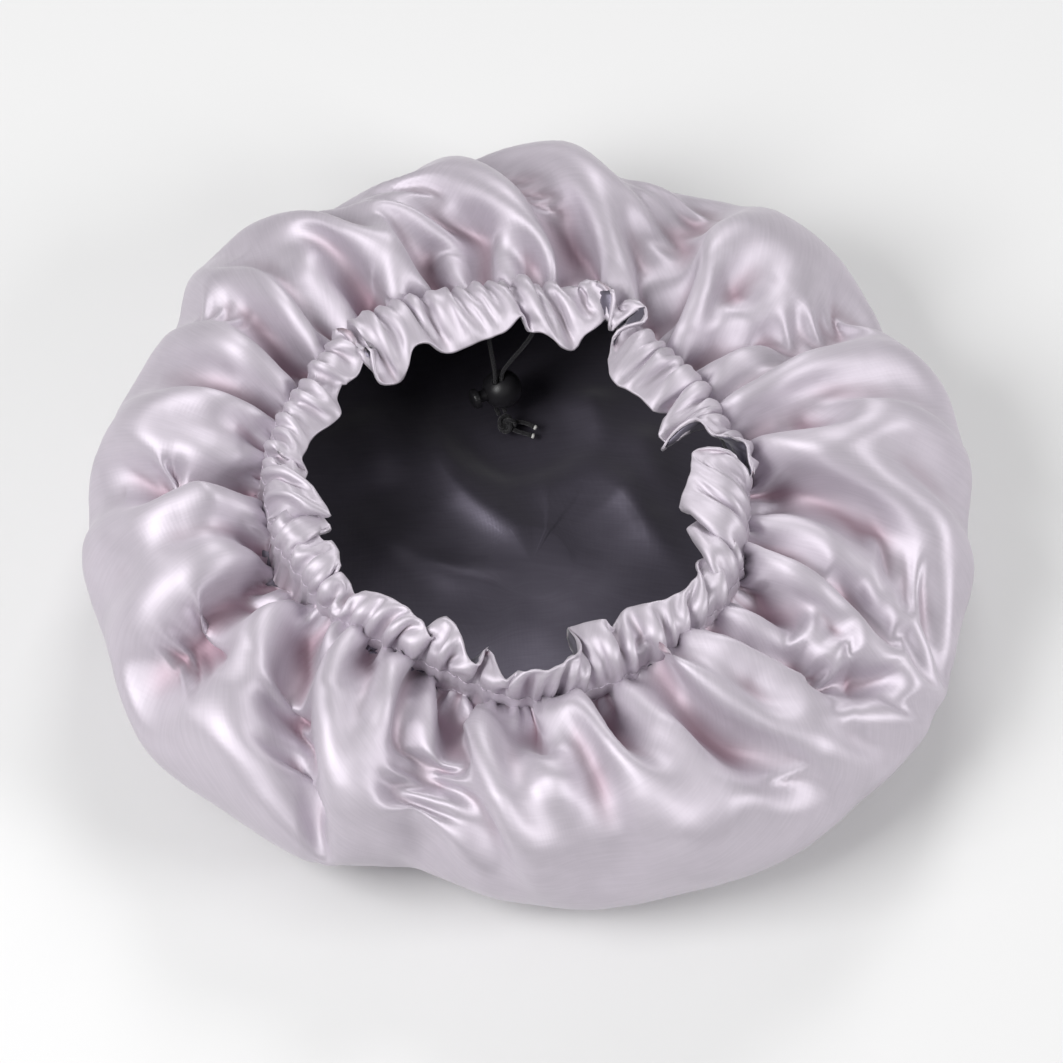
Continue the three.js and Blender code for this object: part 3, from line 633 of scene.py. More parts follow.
# The bag's rows, as shares of the way from the crown's middle to the ring: the closest are at the ring
crown_rows, side_rows, ring_rows = 36, 36, 50
crown_end_share, side_end_share = 0.44, 0.74
bag_steps = np.concatenate([np.linspace(0.02, crown_end_share, crown_rows, endpoint=False),
                            np.linspace(crown_end_share, side_end_share, side_rows, endpoint=False),
                            np.linspace(side_end_share, 1.0, ring_rows)])
profile = smooth_curve(meridian, 800)
profile_share = np.linspace(0, 1, len(profile))
base_reach = np.interp(bag_steps, profile_share, profile[:, 0])
base_height = np.interp(bag_steps, profile_share, profile[:, 1])
meridian_length = curve_length(profile)
to_stitch = (1 - bag_steps) * meridian_length
angle = np.radians(ring_azimuth)
turn_reach = 118 * MM
outline_from, outline_full = 40 * MM, 130 * MM
give_reach = 90 * MM


def bag_surface():
    """The bag without folds: its meridian turned about its centres, with a share of the turn from the ring's
    azimuths to the widest ones, wider and narrower by the outline's shares and the ring's gives."""
    turn = smoothstep(0, turn_reach, to_stitch)[:, None]
    azimuth = ring_azimuth * (1 - turn) + wide_azimuth * turn
    shape_share = smoothstep(outline_from, outline_full, base_reach)[:, None] * turn
    outline = 1 + (periodic(outline_shares, azimuth) - 1) * shape_share
    give = (ring_reach - stitch_radius) * (1 - smoothstep(0, give_reach, to_stitch))[:, None]
    reach = base_reach[:, None] * outline + give
    centre = gather_centre[:2] * (1 - turn)[..., None] + bag_centre[:2] * turn[..., None]
    radians = np.radians(azimuth)
    return np.stack([centre[..., 0] + reach * np.cos(radians), centre[..., 1] + reach * np.sin(radians),
                     np.broadcast_to(base_height[:, None], reach.shape)], axis=-1)


puff_bluntness, gather_bluntness = 0.45, 0.25


def blunt_crest(flank, bluntness):
    """Straight flanks that rise from 0 and meet in a crest of 1, rounded by a share of their width."""
    return 1 - (np.hypot(1 - flank, bluntness) - bluntness) / (np.hypot(1, bluntness) - bluntness)


crease_full, crease_fade, crease_end = 20 * MM, 60 * MM, 125 * MM
swell_full, swell_fade, swell_end = 30 * MM, 45 * MM, 95 * MM


def puffs():
    """How far the bag stands off its plain shape along its main creases: drawn in at each crease, swollen
    between them, with flat flanks."""
    crest = 0.5 * puff_skew
    flank = np.minimum(puff_share / crest, (1 - puff_share) / (1 - crest))
    puff = blunt_crest(flank, puff_bluntness)
    depth = crease_depth * (depth_here * (1 - puff_share) + depth_next * puff_share) * (1 - puff)
    crease_reach = (smoothstep(0, crease_full, to_stitch)
                    * (1 - smoothstep(crease_fade, crease_end, to_stitch)))
    swell_reach = smoothstep(0, swell_full, to_stitch) * (1 - smoothstep(swell_fade, swell_end, to_stitch))
    return swell_reach[:, None] * swell_height * puff_swell * puff - crease_reach[:, None] * depth


def gathers(count, seed, away, base, full, fade_from, fade_to):
    """One size of gathers, from 0 to 1: folds side by side round the ring, each with its own random width,
    lean, height and length. They have a share of their height at the ring, reach all of it and fade away."""
    own = np.random.default_rng(seed)
    edges = (np.arange(count + 1) + np.append(own.uniform(-0.32, 0.32, count), 0)) * 360 / count
    edges[-1] = edges[0] + 360
    drift = 5 * np.sin(2 * angle + 1) + 4 * np.sin(5 * angle + 2.3) + 2.5 * np.sin(11 * angle)
    turned = (ring_azimuth + away / (100 * MM) * drift - edges[0]) % 360 + edges[0]
    number = np.clip(np.searchsorted(edges, turned, side="right") - 1, 0, count - 1)
    share = (turned - edges[number]) / (edges[number + 1] - edges[number])
    crest = own.uniform(0.28, 0.72, count)[number]
    height = own.uniform(0.45, 1.0, count)[number]
    length = own.uniform(0.6, 1.4, count)[number]
    flank = np.minimum(share / crest, (1 - share) / (1 - crest))
    shown = (base + (1 - base) * smoothstep(0, full * MM, away)) * (
        1 - smoothstep(fade_from * MM * length, fade_to * MM * length, away))
    return height * blunt_crest(flank, gather_bluntness) * shown


ring_fold_reach = 16 * MM


def fold_heights(surface, normals, lines, spread):
    """The sum of the single folds: each falls off with the distance from its line, at its own rate on either
    side, keeps its height towards the ring and fades at its outer end."""
    places = picture_places(surface)
    hidden = (normals * (surface - camera_eye)).sum(axis=-1) > 0
    total = np.zeros(surface.shape[:2])
    for height, roundness, left, right, line in lines:
        found = []
        for place in line:
            miss = ((places - place) ** 2).sum(axis=-1) + 1e9 * hidden
            found.append(np.unravel_index(np.argmin(miss), miss.shape))
        curve = smooth_curve([surface[spot] for spot in found], 28)
        last = len(curve) - 1
        tangent = np.gradient(curve, axis=0)
        near = np.nonzero(np.linalg.norm(surface - curve.mean(axis=0), axis=-1)
                          < curve_length(curve) / 2 + 4.5 * max(left, right) * MM)
        points = surface[near]
        steps = points[:, None] - curve
        distances = np.linalg.norm(steps, axis=-1)
        nearest = distances.argmin(axis=1)
        step = steps[np.arange(len(points)), nearest]
        ahead = (step * tangent[nearest]).sum(axis=-1) / (tangent[nearest] ** 2).sum(axis=-1)
        ahead = np.clip(ahead, -0.6 * (nearest > 0), 0.6 * (nearest < last))
        step = step - ahead[:, None] * tangent[nearest]
        distance = np.linalg.norm(step, axis=-1)
        leftwards = (step * np.cross(normals[near], tangent[nearest])).sum(axis=-1)
        stride = np.linalg.norm(tangent[nearest], axis=-1)
        lean = smoothstep(-0.5, 0.5, leftwards / np.maximum(distance * stride, 1e-9))
        width = spread * (right + (left - right) * lean) * MM
        along = (nearest + ahead) / last
        from_ring = to_stitch[found[0][0]] < ring_fold_reach
        fade = (1 if from_ring else smoothstep(0, 0.35, along)) * (1 - 0.85 * smoothstep(0.55, 1, along))
        blunt = roundness * MM
        total[near] += height * MM * fade * np.exp(-(np.hypot(distance, blunt) - blunt) / width)
    return total


facet_waves = 14
facet_height = 1.2 * MM
facet_lengths = (70, 150)
facet_bend_length, facet_patch_length = 45 * MM, 35 * MM


def crumples(surface):
    """Slack of the cloth: flat facets that meet in straight creases. Each wave rises and falls in straight
    flanks along its own direction, and comes and goes with a slower wave across it."""
    total = np.zeros(surface.shape[:2])
    for _ in range(facet_waves):
        direction = rng.normal(size=3) * [1, 1, 0.6]
        direction /= np.linalg.norm(direction)
        across = np.cross(direction, [0, 0, 1]) + [0, 0, 0.3]
        wave_length = rng.uniform(*facet_lengths) * MM
        bend = 0.12 * np.sin(surface @ across / facet_bend_length + rng.uniform(0, 6))
        phase = (surface @ direction) / wave_length + bend + rng.uniform(0, 1)
        patch = np.sin(surface @ rng.normal(size=3) / facet_patch_length + rng.uniform(0, 6))
        shown = smoothstep(-0.1, 0.9, patch)
        total += facet_height * shown * (np.abs(2 * (phase % 1) - 1) - 0.5)
    return total


smooth_bag = bag = bag_surface()
bag_normals = grid_normals(bag)
slack_from, slack_full, slack_fade, slack_end = 4 * MM, 34 * MM, 165 * MM, 195 * MM
slack = smoothstep(slack_from, slack_full, to_stitch) * (1 - smoothstep(slack_fade, slack_end, to_stitch))
slack = slack[:, None]
away = to_stitch[:, None]
large_gathers = {"count": 27, "seed": 11, "base": 0.1, "full": 26, "fade_from": 60, "fade_to": 140}
middle_gathers = {"count": 54, "seed": 12, "base": 0.5, "full": 10, "fade_from": 26, "fade_to": 80}
small_gathers = {"count": 94, "seed": 13, "base": 1, "full": 1, "fade_from": 10, "fade_to": 40}
large_height, middle_height, small_height = 4 * MM, 3.5 * MM, 2.2 * MM
settled_depth = 1.6 * MM
settled_full = large_gathers["full"] * MM
settled_fade, settled_end = large_gathers["fade_from"] * MM, large_gathers["fade_to"] * MM
settled = smoothstep(0, settled_full, away) * (1 - smoothstep(settled_fade, settled_end, away))
gathered = (large_height * gathers(away=away, **large_gathers)
            + middle_height * gathers(away=away, **middle_gathers)
            + small_height * gathers(away=away, **small_gathers) - settled_depth * settled)
broad_spread, crisp_spread = 1.6, 0.6
fold_share = 1.8
single = fold_heights(bag, bag_normals, folds, broad_spread)
relief = puffs() + gathered + fold_share * single + slack * crumples(bag)
bag = bag + bag_normals * soften(relief, 1)[..., None]
bag[..., 2] = np.maximum(bag[..., 2], 0)


def drape(points, girths, lengths, held, stiffness, rounds):
    """A cloth simulation on a grid that closes sideways. Each round pulls neighbours along the rows and
    columns to their rest distances, girths and lengths, keeps the diagonals near theirs, takes away sharp
    bends, and brings each point back towards its start by its held share."""
    start = points.copy()
    slant = np.hypot(girths[:-1], lengths)
    slant_share = 0.12

    def shift(first, second, rest, share):
        """Half the way, times a share, that brings two sets of points to their rest distance."""
        step = second - first
        size = np.linalg.norm(step, axis=-1)
        return step * (0.5 * share * (size - rest) / np.maximum(size, 1e-9))[..., None]

    for _ in range(rounds):
        for turn in (0, 1):
            points = np.roll(points, -turn, axis=1)
            rest = np.roll(girths, -turn, axis=1)[:, ::2]
            pull = shift(points[:, ::2], points[:, 1::2], rest, 1.0)
            points[:, ::2] += pull
            points[:, 1::2] -= pull
            points = np.roll(points, turn, axis=1)
        for first in (0, 1):
            count = (len(points) - first) // 2
            upper = points[first + 1::2][:count]
            pull = shift(points[first::2][:count], upper, lengths[first::2][:count], 1.0)
            points[first::2][:count] += pull
            points[first + 1::2][:count] -= pull
        for turn in (-1, 1):
            pull = shift(points[:-1], np.roll(points, turn, axis=1)[1:], slant, slant_share)
            points[:-1] += pull
            points[1:] -= np.roll(pull, -turn, axis=1)
        bend = np.roll(points, 1, axis=1) + np.roll(points, -1, axis=1) - 2 * points
        points = points - stiffness * (np.roll(bend, 1, axis=1) + np.roll(bend, -1, axis=1) - 2 * bend)
        bend = points[:-2] + points[2:] - 2 * points[1:-1]
        points[2:-2] -= stiffness * (bend[:-2] + bend[2:] - 2 * bend[1:-1])
        points += held * (start - points)
        points[..., 2] = np.maximum(points[..., 2], 0)
    return points


# The cloth settles: the panel is draped at every second column, then at all of them. Its slow drift is held
# back to a few millimetres, so that the bag keeps its outline, and the finest creases are laid on again.
along = bag_steps * meridian_length
fullness = 0.42
take_up = 0.98
least_held = 0.004
furthest = 4 * MM
held_from, held_full = 140 * MM, 185 * MM
at_ring = 1 * MM
excess = ((1 - fullness) * base_reach + fullness * along) / base_reach
girths = np.linalg.norm(np.roll(smooth_bag, -1, axis=1) - smooth_bag, axis=-1) * excess[:, None]
lengths = np.linalg.norm(np.diff(smooth_bag, axis=0), axis=-1) * take_up
held = least_held + (1 - least_held) * smoothstep(held_from, held_full, away) + (away < at_ring)
held = np.minimum(held, 1)[..., None]
coarse = drape(bag[:, ::2], girths[:, ::2] + girths[:, 1::2], lengths[:, ::2], held,
               stiffness=0.04, rounds=220)
finer = np.empty_like(bag)
finer[:, ::2] = coarse
finer[:, 1::2] = (9 * (coarse + np.roll(coarse, -1, axis=1))
                  - np.roll(coarse, 1, axis=1) - np.roll(coarse, -2, axis=1)) / 16
finer[-1] = bag[-1]
finer = drape(finer, girths, lengths, held, stiffness=0.01, rounds=50)
move = finer - bag
drift = soften(move, 300)
size = np.linalg.norm(drift, axis=-1, keepdims=True)
bag = bag + move - drift + drift * (furthest * np.tanh(size / furthest) / np.maximum(size, 1e-9))
crisp = fold_heights(smooth_bag, bag_normals, folds, crisp_spread)
relaid_share, crisp_share, crumple_share = 0.4, 0.35, 1.6
relief = relaid_share * single + crisp_share * crisp + crumple_share * slack * crumples(bag)
bag = bag + bag_normals * relief[..., None]
bag[..., 2] = np.maximum(bag[..., 2], 0)

# The gathers run on through the casing
casing_rows = 8
casing_share = np.linspace(0, 1, casing_rows + 1)[1:, None]
ring_middle = gathers(away=0, **middle_gathers)
ring_small = gathers(away=0, **small_gathers)
casing_pucker = middle_height * ring_middle + small_height * ring_small
casing_bulge = 0.9 * MM
casing_reach = ring_reach + casing_bulge * np.sin(np.pi * casing_share) + casing_pucker
casing_height = stitch_height + casing_width * casing_share
casing = np.stack([gather_centre[0] + casing_reach * np.cos(angle),
                   gather_centre[1] + casing_reach * np.sin(angle),
                   np.broadcast_to(casing_height, casing_reach.shape)], axis=-1)

# The lip is a closed curve through its places. Each place belongs to a column by half its share of the lip's
# length and half its share of the turn, so that loops in the lip get columns of their own.
ruffle_rows = 18
lip_points = points_at_height(lip_places)
lip_steps = np.roll(lip_points, -1, axis=0) - lip_points
lip_lengths = np.linalg.norm(lip_steps, axis=1)
lip_azimuth = np.degrees(np.arctan2(lip_points[:, 1] - gather_centre[1], lip_points[:, 0] - gather_centre[0]))
lip_turns = np.maximum((np.roll(lip_azimuth, -1) - lip_azimuth + 180) % 360 - 180, 0.2)
lip_shares = 180 * (lip_lengths / lip_lengths.sum() + lip_turns / lip_turns.sum())
lip_places_round = np.concatenate([[0], np.cumsum(lip_shares)])
lip_drift = np.mean((lip_azimuth - lip_places_round[:-1] + 180 - lip_azimuth[0]) % 360 - 180) + lip_azimuth[0]
lip_from = lip_places_round + lip_drift
lip_count = len(lip_points)
lip_finer = 12
lip_samples = np.arange(0, 360, 360 / (lip_finer * lip_count))
lip_curve = np.stack([periodic(lip_points[:, k], lip_samples) for k in range(3)], axis=-1)
lip_curve_from = np.interp(np.arange(lip_finer * lip_count) / lip_finer, np.arange(lip_count + 1), lip_from)
lip = np.stack([np.interp(ring_azimuth, lip_curve_from, lip_curve[:, k], period=360) for k in range(3)],
               axis=-1)


def ruffle_surface():
    """The ruffle: from the casing's upper stitch row it rises, bends over and reaches the lip along a curve
    whose middle is pulled towards a point above the row, with fine puckers that fade from the row."""
    share = (np.arange(1, ruffle_rows + 1) / ruffle_rows)[:, None, None]
    foot = casing[-1]
    width = np.linalg.norm(lip - foot, axis=-1)[:, None]
    pull = foot + np.array([0, 0, 0.5]) * width + 0.12 * (lip - foot)
    surface = (1 - share) ** 2 * foot + 2 * share * (1 - share) * pull + share**2 * lip
    fine = small_height * ring_small * (1 - smoothstep(0.2, 0.9, share[..., 0]))
    pleats = middle_height * ring_middle * (1 + np.sin(np.pi * share[..., 0])) * (
        1 - 0.8 * smoothstep(0.5, 1, share[..., 0]))
    off = fine + pleats - casing_pucker * (1 - share[..., 0]) ** 2
    return surface + grid_normals(surface) * off[..., None]


ruffle = ruffle_surface()
ruffle_whole = np.concatenate([casing[-1:], ruffle])
ruffle_share = np.linspace(0, 1, ruffle_rows + 1)[:, None]
ruffle_girths = np.linalg.norm(np.roll(ruffle_whole, -1, axis=1) - ruffle_whole, axis=-1)
ruffle_girths = soften(ruffle_girths, 40) * (1 + 0.45 * np.sin(np.pi * ruffle_share))
ruffle_lengths = np.linalg.norm(np.diff(ruffle_whole, axis=0), axis=-1)
ruffle_held = np.where((ruffle_share == 0) | (ruffle_share == 1), 1, 0.01)[..., None]
ruffle = drape(ruffle_whole, ruffle_girths, ruffle_lengths, ruffle_held, stiffness=0.02, rounds=90)[1:]
outer_face = np.concatenate([bag, casing, ruffle])
outer_normals = grid_normals(outer_face)

# The lip is rolled: the outer panel turns round the lining's edge
roll_radius = 0.7 * MM
hem_width = 1.2 * MM
roll_turn = np.linspace(0, np.pi, 6)[1:, None, None]
lip = outer_face[-1]
lip_along = outer_face[-1] - outer_face[-2]
lip_along /= np.linalg.norm(lip_along, axis=-1, keepdims=True)
lip_out = outer_normals[-1]
roll = lip + roll_radius * (np.sin(roll_turn) * lip_along - (1 - np.cos(roll_turn)) * lip_out)
hem = roll[-1:] - hem_width * lip_along
outer_grid = np.concatenate([outer_face, roll, hem])


def flat_pattern(rows_along):
    """Where each point lay on the flat disc before it was gathered: its distance along the cloth from the
    crown's middle, in the direction of its column."""
    reach = np.array(rows_along)[:, None]
    return np.stack([reach * np.cos(angle), reach * np.sin(angle)], axis=-1)


flat_reach = np.concatenate([
    bag_steps * meridian_length, meridian_length + casing_width * casing_share[:, 0],
    meridian_length + casing_width + ruffle_width * np.arange(1, ruffle_rows + 1) / ruffle_rows,
    meridian_length + casing_width + ruffle_width + np.linspace(0, np.pi * roll_radius, 6)[1:],
    [meridian_length + casing_width + ruffle_width + np.pi * roll_radius + hem_width],
])


def weave_group():
    """Satin weave: fine floats along one thread direction with slight unevenness, as a height and a tone."""
    group = bpy.data.node_groups.new("satin_weave", "ShaderNodeTree")
    for name, kind, value in (("Threads", "NodeSocketFloat", 3200.0), ("Unevenness", "NodeSocketFloat", 1.0)):
        socket = group.interface.new_socket(name=name, in_out="INPUT", socket_type=kind)
        socket.default_value = value
    group.interface.new_socket(name="Height", in_out="OUTPUT", socket_type="NodeSocketFloat")
    group.interface.new_socket(name="Tone", in_out="OUTPUT", socket_type="NodeSocketFloat")
    given = add_node(group, "NodeGroupInput").outputs
    result = add_node(group, "NodeGroupOutput").inputs
    uv = add_node(group, "ShaderNodeUVMap", uv_map="cloth").outputs[0]
    split = add_node(group, "ShaderNodeSeparateXYZ", {0: uv})
    warp = math_node(group, "SINE", math_node(group, "MULTIPLY", split.outputs[0], given["Threads"]))
    weft = math_node(group, "SINE", math_node(group, "MULTIPLY", split.outputs[1],
                                              math_node(group, "MULTIPLY", given["Threads"], 2.4)))
    stretched = add_node(group, "ShaderNodeMapping", {0: uv, 3: (60.0, 900.0, 1.0)})
    slub = add_node(group, "ShaderNodeTexNoise",
                    {"Vector": stretched.outputs[0], "Scale": 1.0, "Detail": 3.0})
    cloud = add_node(group, "ShaderNodeTexNoise", {"Vector": uv, "Scale": 45.0, "Detail": 3.0})
    uneven = math_node(group, "MULTIPLY", slub.outputs[0], given["Unevenness"])
    threads = math_node(group, "ADD", math_node(group, "MULTIPLY", warp, 0.25),
                        math_node(group, "MULTIPLY", weft, 0.12))
    group.links.new(math_node(group, "ADD", threads, uneven), result["Height"])
    group.links.new(math_node(group, "ADD", math_node(group, "MULTIPLY", cloud.outputs[0], 0.6),
                              math_node(group, "MULTIPLY", slub.outputs[0], 0.4)), result["Tone"])
    return group


satin_weave = weave_group()
# Painted shade: how far the cloth lies below its surroundings before its colour starts and finishes darkening
crease_shade_from, crease_shade_full = 1 * MM, 5 * MM
cloth_thickness = 0.22 * MM
weave_depth = 0.05 * MM


def mark_crease_shade(piece, grid):
    """A share of painted crease shade on each point, by how far the cloth lies below the mean of its
    surroundings: 0 down to crease_shade_from, 1 from crease_shade_full, and a smooth step between. The cap's
    middle point comes last."""
    below = ((soften(grid, 40) - grid) * grid_normals(grid)).sum(axis=-1)
    share = smoothstep(crease_shade_from, crease_shade_full, below).ravel()
    attribute = piece.data.attributes.new("crease_shade", "FLOAT", "POINT")
    attribute.data.foreach_set("value", np.append(share, 0).astype(np.float32))


def thicken(piece):
    """The cloth's thickness, behind the face that the grid gives."""
    thickness = piece.modifiers.new("thickness", "SOLIDIFY")
    thickness.thickness = cloth_thickness
    thickness.offset = -1


def satin_material(name, pale, deep, crease_shade_colour, roughness, **sockets):
    """Polyester satin: a smooth woven face between two close tones, with a soft gloss and a fine thread bump.
    Where the cloth lies in a crease, its colour turns to a darker, warmer one: painted shade."""
    material, tree, shader = new_material(name, pale, roughness, **sockets)
    weave = add_node(tree, "ShaderNodeGroup", node_tree=satin_weave)
    tone = add_node(tree, "ShaderNodeMapRange", {0: weave.outputs["Tone"], 1: 0.38, 2: 0.62})
    mix = add_node(tree, "ShaderNodeMix", {0: tone.outputs[0], 6: (*deep, 1), 7: (*pale, 1)},
                   data_type="RGBA")
    # Painted shade: the colour darkens towards the crease colour where the cloth lies in a crease
    crease_shade = add_node(tree, "ShaderNodeAttribute", attribute_name="crease_shade")
    crease_shaded = add_node(tree, "ShaderNodeMix", {0: crease_shade.outputs["Fac"], 6: mix.outputs[2], 7: (*crease_shade_colour, 1)},
                    data_type="RGBA")
    tree.links.new(crease_shaded.outputs[2], shader.inputs["Base Color"])
    add_bump(tree, shader, weave.outputs["Height"], 0.35, weave_depth)
    return material


# The third colour is painted shade, laid into the outer satin's creases
outer_satin = satin_material("silver_lilac_satin", (0.60, 0.55, 0.615), (0.54, 0.495, 0.555),
                             (0.34, 0.23, 0.28), 0.56, Metallic=0.5, Specular_IOR_Level=0.5,
                             Anisotropic=0.6, Sheen_Weight=0.15)
outer_panel = add_piece("satin_outer", [outer_grid], "bag", outer_satin,
                        uvs=[flat_pattern(flat_reach)], caps="first")
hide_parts("outer_panel")
mark_crease_shade(outer_panel, outer_grid)
thicken(outer_panel)

# Lining: a second disc of near-black satin inside the first, sewn to it at the lip and in both stitch rows.
# It lies loosely on the crown in a few broad, soft folds.
lining_gap = 0.8 * MM
lining_slack = 1.4 * MM
ridge_height = 0.3 * MM
free_from_ring = 12 * MM
lock_clearance, folds_full = 12 * MM, 32 * MM
casing_swell = 1.9 * MM
lip_gaps = [0.75 * MM, 0.72 * MM, roll_radius]
# Its folds on the crown, read off the photo like the outer panel's
lining_folds = [
    (9, 4, 16, 8, [(432, 386), (438, 430), (446, 476), (492, 522), (558, 568), (600, 590)]),
    (7, 5, 13, 8, [(350, 500), (393, 552), (440, 578), (492, 592), (560, 612)]),
    (5, 7, 9, 13, [(500, 476), (545, 466), (590, 472), (622, 494)]),
    (7, 2, 8, 12, [(590, 470), (625, 499), (655, 535), (684, 575)]),
    (5, 3, 10, 8, [(592, 380), (593, 420), (592, 462)]),
    (5, 5, 10, 10, [(350, 400), (372, 440), (386, 500)]),
    (5, 4, 8, 8, [(640, 420), (652, 470), (676, 510)]),
]
face_rows = len(outer_face)
lining_depth = np.full(face_rows, lining_gap)
casing_first = len(bag)
lining_depth[casing_first:casing_first + casing_rows] += casing_swell * np.sin(np.pi * casing_share[:, 0])
lining_depth[-3:] = lip_gaps
smooth_face = np.concatenate([soften(bag, 60), outer_face[casing_first:]])
smooth_normals = grid_normals(smooth_face)
inset = ((outer_face - smooth_face) * smooth_normals).sum(axis=-1)
for _ in range(5):
    inset = np.minimum(inset, np.minimum(np.roll(inset, 2, axis=1), np.roll(inset, -2, axis=1)))
    inset[1:-1] = np.minimum(inset[1:-1], np.minimum(inset[:-2], inset[2:]))
inset = np.minimum(soften(inset, 12), 0)
free = smoothstep(0, free_from_ring, to_stitch)[:, None, None]
soft_fade = (smoothstep(30 * MM, 90 * MM, to_stitch) * smoothstep(8 * MM, 60 * MM, base_reach))[:, None]
soft_wave = 1 + np.sin(7 * angle + 1.2 + 14 * base_reach[:, None])
soft = ridge_height * soft_wave * (0.6 + 0.4 * np.sin(4 * angle + 2))
loose = (smooth_face[:casing_first] + smooth_normals[:casing_first]
         * (inset[:casing_first] - lining_slack - soft * soft_fade)[..., None])
lining_single = fold_heights(loose, -smooth_normals[:casing_first], lining_folds, 1.3)
# The folds keep away from the lock, the knot and the tails
tails_middle = drawn([1.5, 65, 6.5])
for place in (ball_centre_in_drawing + drawing_shift, knot_centre, tails_middle):
    lining_single *= smoothstep(lock_clearance, folds_full, np.linalg.norm(loose - place, axis=-1))
loose = loose - smooth_normals[:casing_first] * lining_single[..., None]
# At the ring it follows the outer panel's face, smoothed and set in as far as its deepest folds reach
ring_face = soften(outer_face, 30)
ring_normals = grid_normals(ring_face)
ring_inset = ((outer_face - ring_face) * ring_normals).sum(axis=-1)
for _ in range(3):
    beside = np.minimum(np.roll(ring_inset, 1, axis=1), np.roll(ring_inset, -1, axis=1))
    ring_inset = np.minimum(ring_inset, beside)
ring_inset = soften(ring_inset, 2)
tight = ring_face + ring_normals * (ring_inset - lining_depth[:, None])[..., None]
lip_rows = 5
at_lip = (np.clip(np.arange(face_rows) - (face_rows - 1 - lip_rows), 0, lip_rows) / lip_rows)[:, None, None]
tight = tight * (1 - at_lip) + (outer_face - outer_normals * lining_depth[:, None, None]) * at_lip
lining_face = tight.copy()
lining_face[:casing_first] = tight[:casing_first] * (1 - free) + loose * free
# The third colour is painted shade, laid into the lining's creases
lining_satin = satin_material("black_satin", (0.150, 0.136, 0.179), (0.126, 0.113, 0.152),
                              (0.060, 0.050, 0.068), 0.40, Metallic=0.6, Sheen_Weight=0.3)
lining_panel = add_piece("satin_lining", [lining_face], "bag", lining_satin,
                         uvs=[flat_pattern(flat_reach[:face_rows])], caps="first")
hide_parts("lining_panel")
mark_crease_shade(lining_panel, lining_face)
thicken(lining_panel)

# Elastic in the casing: the hidden stretch of the draw cord, of the same braid. It runs between the two
# stitch rows from the left exit round by the front to the right exit.
cord_from, cord_to = 113.3, 433.7
cord_inset = 1.3 * MM
cord_azimuth = np.radians(np.linspace(cord_from, cord_to, 420))
cord_reach = stitch_radius + periodic(ring_gives, np.degrees(cord_azimuth)) * MM - cord_inset
ring_path = np.stack([gather_centre[0] + cord_reach * np.cos(cord_azimuth),
                      gather_centre[1] + cord_reach * np.sin(cord_azimuth),
                      np.full(len(cord_azimuth), stitch_height + casing_width / 2)], axis=-1)
ring_cord = add_piece("elastic_casing", [tube_grid(ring_path, strand_radius, 12)], "bag",
                      elastic)
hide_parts("draw_cord")

# Stitches: two rows of lockstitch hold the casing. The needle thread shows on the outer satin as short raised
# stitches, the bobbin thread on the lining.
thread_radius = 0.2 * MM
stitch_sink = 0.35 * MM
stitch_rise = 0.45 * MM
stitches = 240


def stitch_row(grid, normals, row, lift, name, material, node):
    """Stitches along one row: each is a short bar that follows the row from column to column and dives into
    the cloth at both ends."""
    line = grid[row]
    out = normals[row]
    ring, sides = 7, 6
    share = np.linspace(0.06, 0.94, ring)
    place = (np.arange(stitches)[:, None] + share[None]) * (columns / stitches)
    first = np.floor(place).astype(int) % columns
    second = (first + 1) % columns
    part = (place - np.floor(place))[..., None]
    centre = line[first] * (1 - part) + line[second] * part
    normal = out[first] * (1 - part) + out[second] * part
    arch = (np.sin(np.pi * share) ** 0.5)[None, :, None]
    centre = centre + normal * (lift - stitch_sink + stitch_rise * arch)
    along = np.gradient(centre, axis=1)
    along /= np.linalg.norm(along, axis=-1, keepdims=True)
    across = np.cross(along, normal)
    across /= np.linalg.norm(across, axis=-1, keepdims=True)
    turn = np.linspace(0, 2 * np.pi, sides, endpoint=False)
    width = (thread_radius * np.clip(np.sin(np.pi * share), 0.35, 1) ** 0.5)[None, :, None, None]
    up = np.cross(across, along)
    grids = centre[:, :, None] + width * (np.cos(turn)[:, None] * across[:, :, None]
                                          + np.sin(turn)[:, None] * up[:, :, None])
    piece = add_piece(name, list(grids), "bag", material)
    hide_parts(node)


def thread_material(name, colour, roughness):
    """Twisted thread: the ridges of its yarns run along it as a fine bump."""
    material, tree, shader = new_material(name, colour, roughness, Sheen_Weight=0.2)
    uv = add_node(tree, "ShaderNodeUVMap", uv_map="cloth").outputs[0]
    twist = add_node(tree, "ShaderNodeTexWave", {"Vector": uv, "Scale": 12.0, "Distortion": 0.5})
    add_bump(tree, shader, twist.outputs[1], 0.5, 0.05 * MM)
    return material


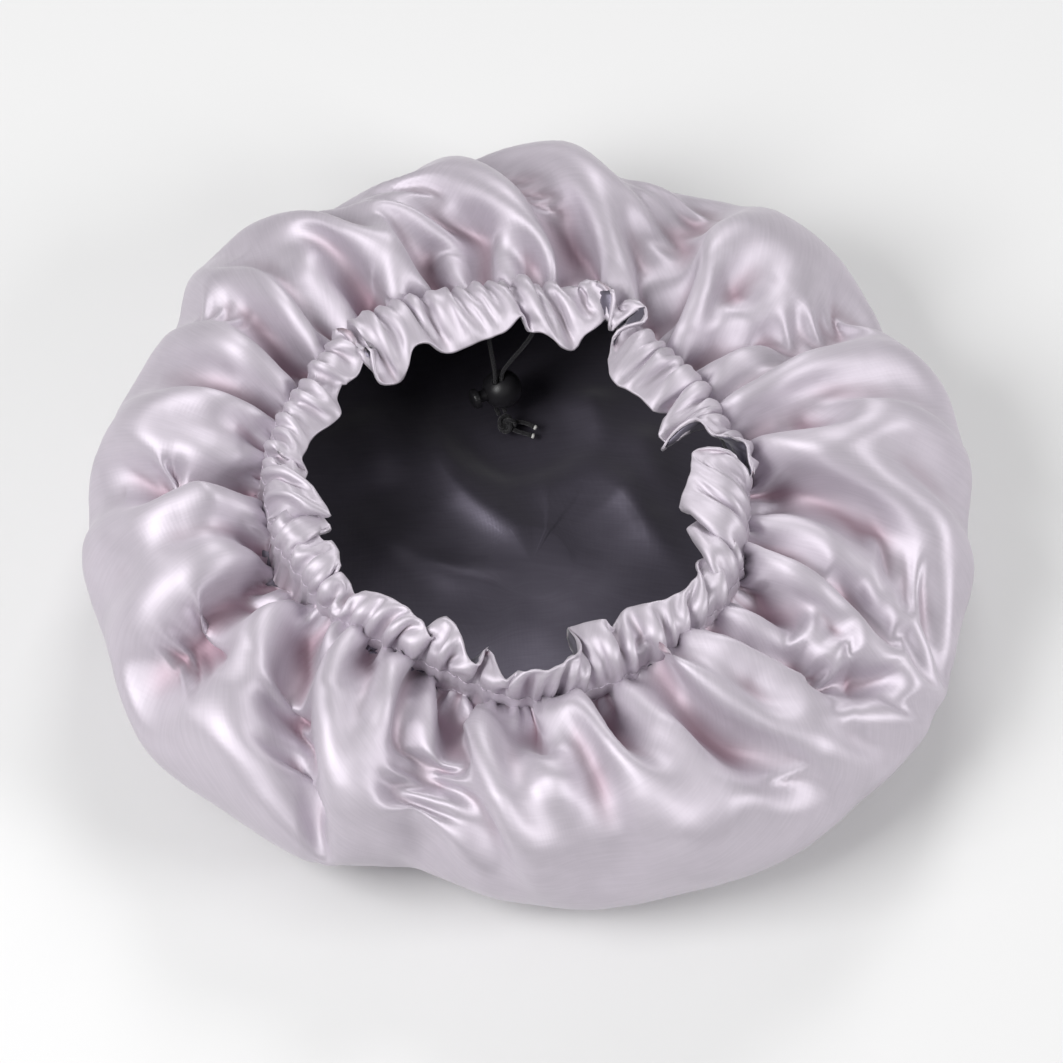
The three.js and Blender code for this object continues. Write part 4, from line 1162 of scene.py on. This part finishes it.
pale_thread = thread_material("lilac_thread", (0.60, 0.54, 0.62), 0.5)
dark_thread = thread_material("black_thread", (0.020, 0.018, 0.022), 0.6)
lining_normals = -grid_normals(lining_face)
for level, row in (("lower", casing_first - 1), ("upper", casing_first + casing_rows - 1)):
    stitch_row(outer_face, outer_normals, row, thread_radius, f"stitches_outer_{level}",
               pale_thread, f"{level}_row_needle_thread")
    stitch_row(lining_face, lining_normals, row, thread_radius, f"stitches_inner_{level}",
               dark_thread, f"{level}_row_bobbin_thread")

# Table and light: a pale floor that keeps the shadow, a white surround and soft lamps from above.
floor_mesh = bpy.data.meshes.new("floor")
floor_half = 4.0
floor_drop = -0.2 * MM
floor_corners = ((-1, -1), (1, -1), (1, 1), (-1, 1))
floor_mesh.from_pydata([(floor_half * x, floor_half * y, floor_drop) for x, y in floor_corners], [],
                       [(0, 1, 2, 3)])
floor = bpy.data.objects.new("floor", floor_mesh)
bpy.context.scene.collection.objects.link(floor)
table_grey = 0.72
floor_mesh.materials.append(new_material("table", (table_grey, table_grey, table_grey), 0.7)[0])

world = bpy.data.worlds.new("surround")
bpy.context.scene.world = world
world.use_nodes = True
world_tree = world.node_tree
background = world_tree.nodes["Background"]
ambient = 0.29
background.inputs["Color"].default_value = (1, 1, 1, 1)
light_path = add_node(world_tree, "ShaderNodeLightPath")
straight_view = math_node(world_tree, "MAXIMUM", light_path.outputs["Is Camera Ray"],
                          light_path.outputs["Is Transmission Ray"])
strength = add_node(world_tree, "ShaderNodeMapRange", {0: straight_view, 3: ambient, 4: 1.0})
world_tree.links.new(strength.outputs[0], background.inputs["Strength"])
lamp_aim = (0, 0, 0.04)


def add_lamp(name, place, size, power):
    """A square area lamp that faces the bonnet."""
    lamp = bpy.data.objects.new(name, bpy.data.lights.new(name, "AREA"))
    bpy.context.scene.collection.objects.link(lamp)
    lamp.data.size = size
    lamp.data.energy = power
    lamp.location = place
    lamp.rotation_euler = (Vector(lamp_aim) - Vector(place)).to_track_quat("-Z", "Y").to_euler()


add_lamp("key", (-1.0, -0.6, 1.2), 0.9, 23)
add_lamp("fill", (1.4, -0.5, 0.9), 0.6, 13.5)
add_lamp("back", (0.2, 1.4, 1.2), 0.6, 11)

bpy.context.scene.view_settings.view_transform = "Standard"
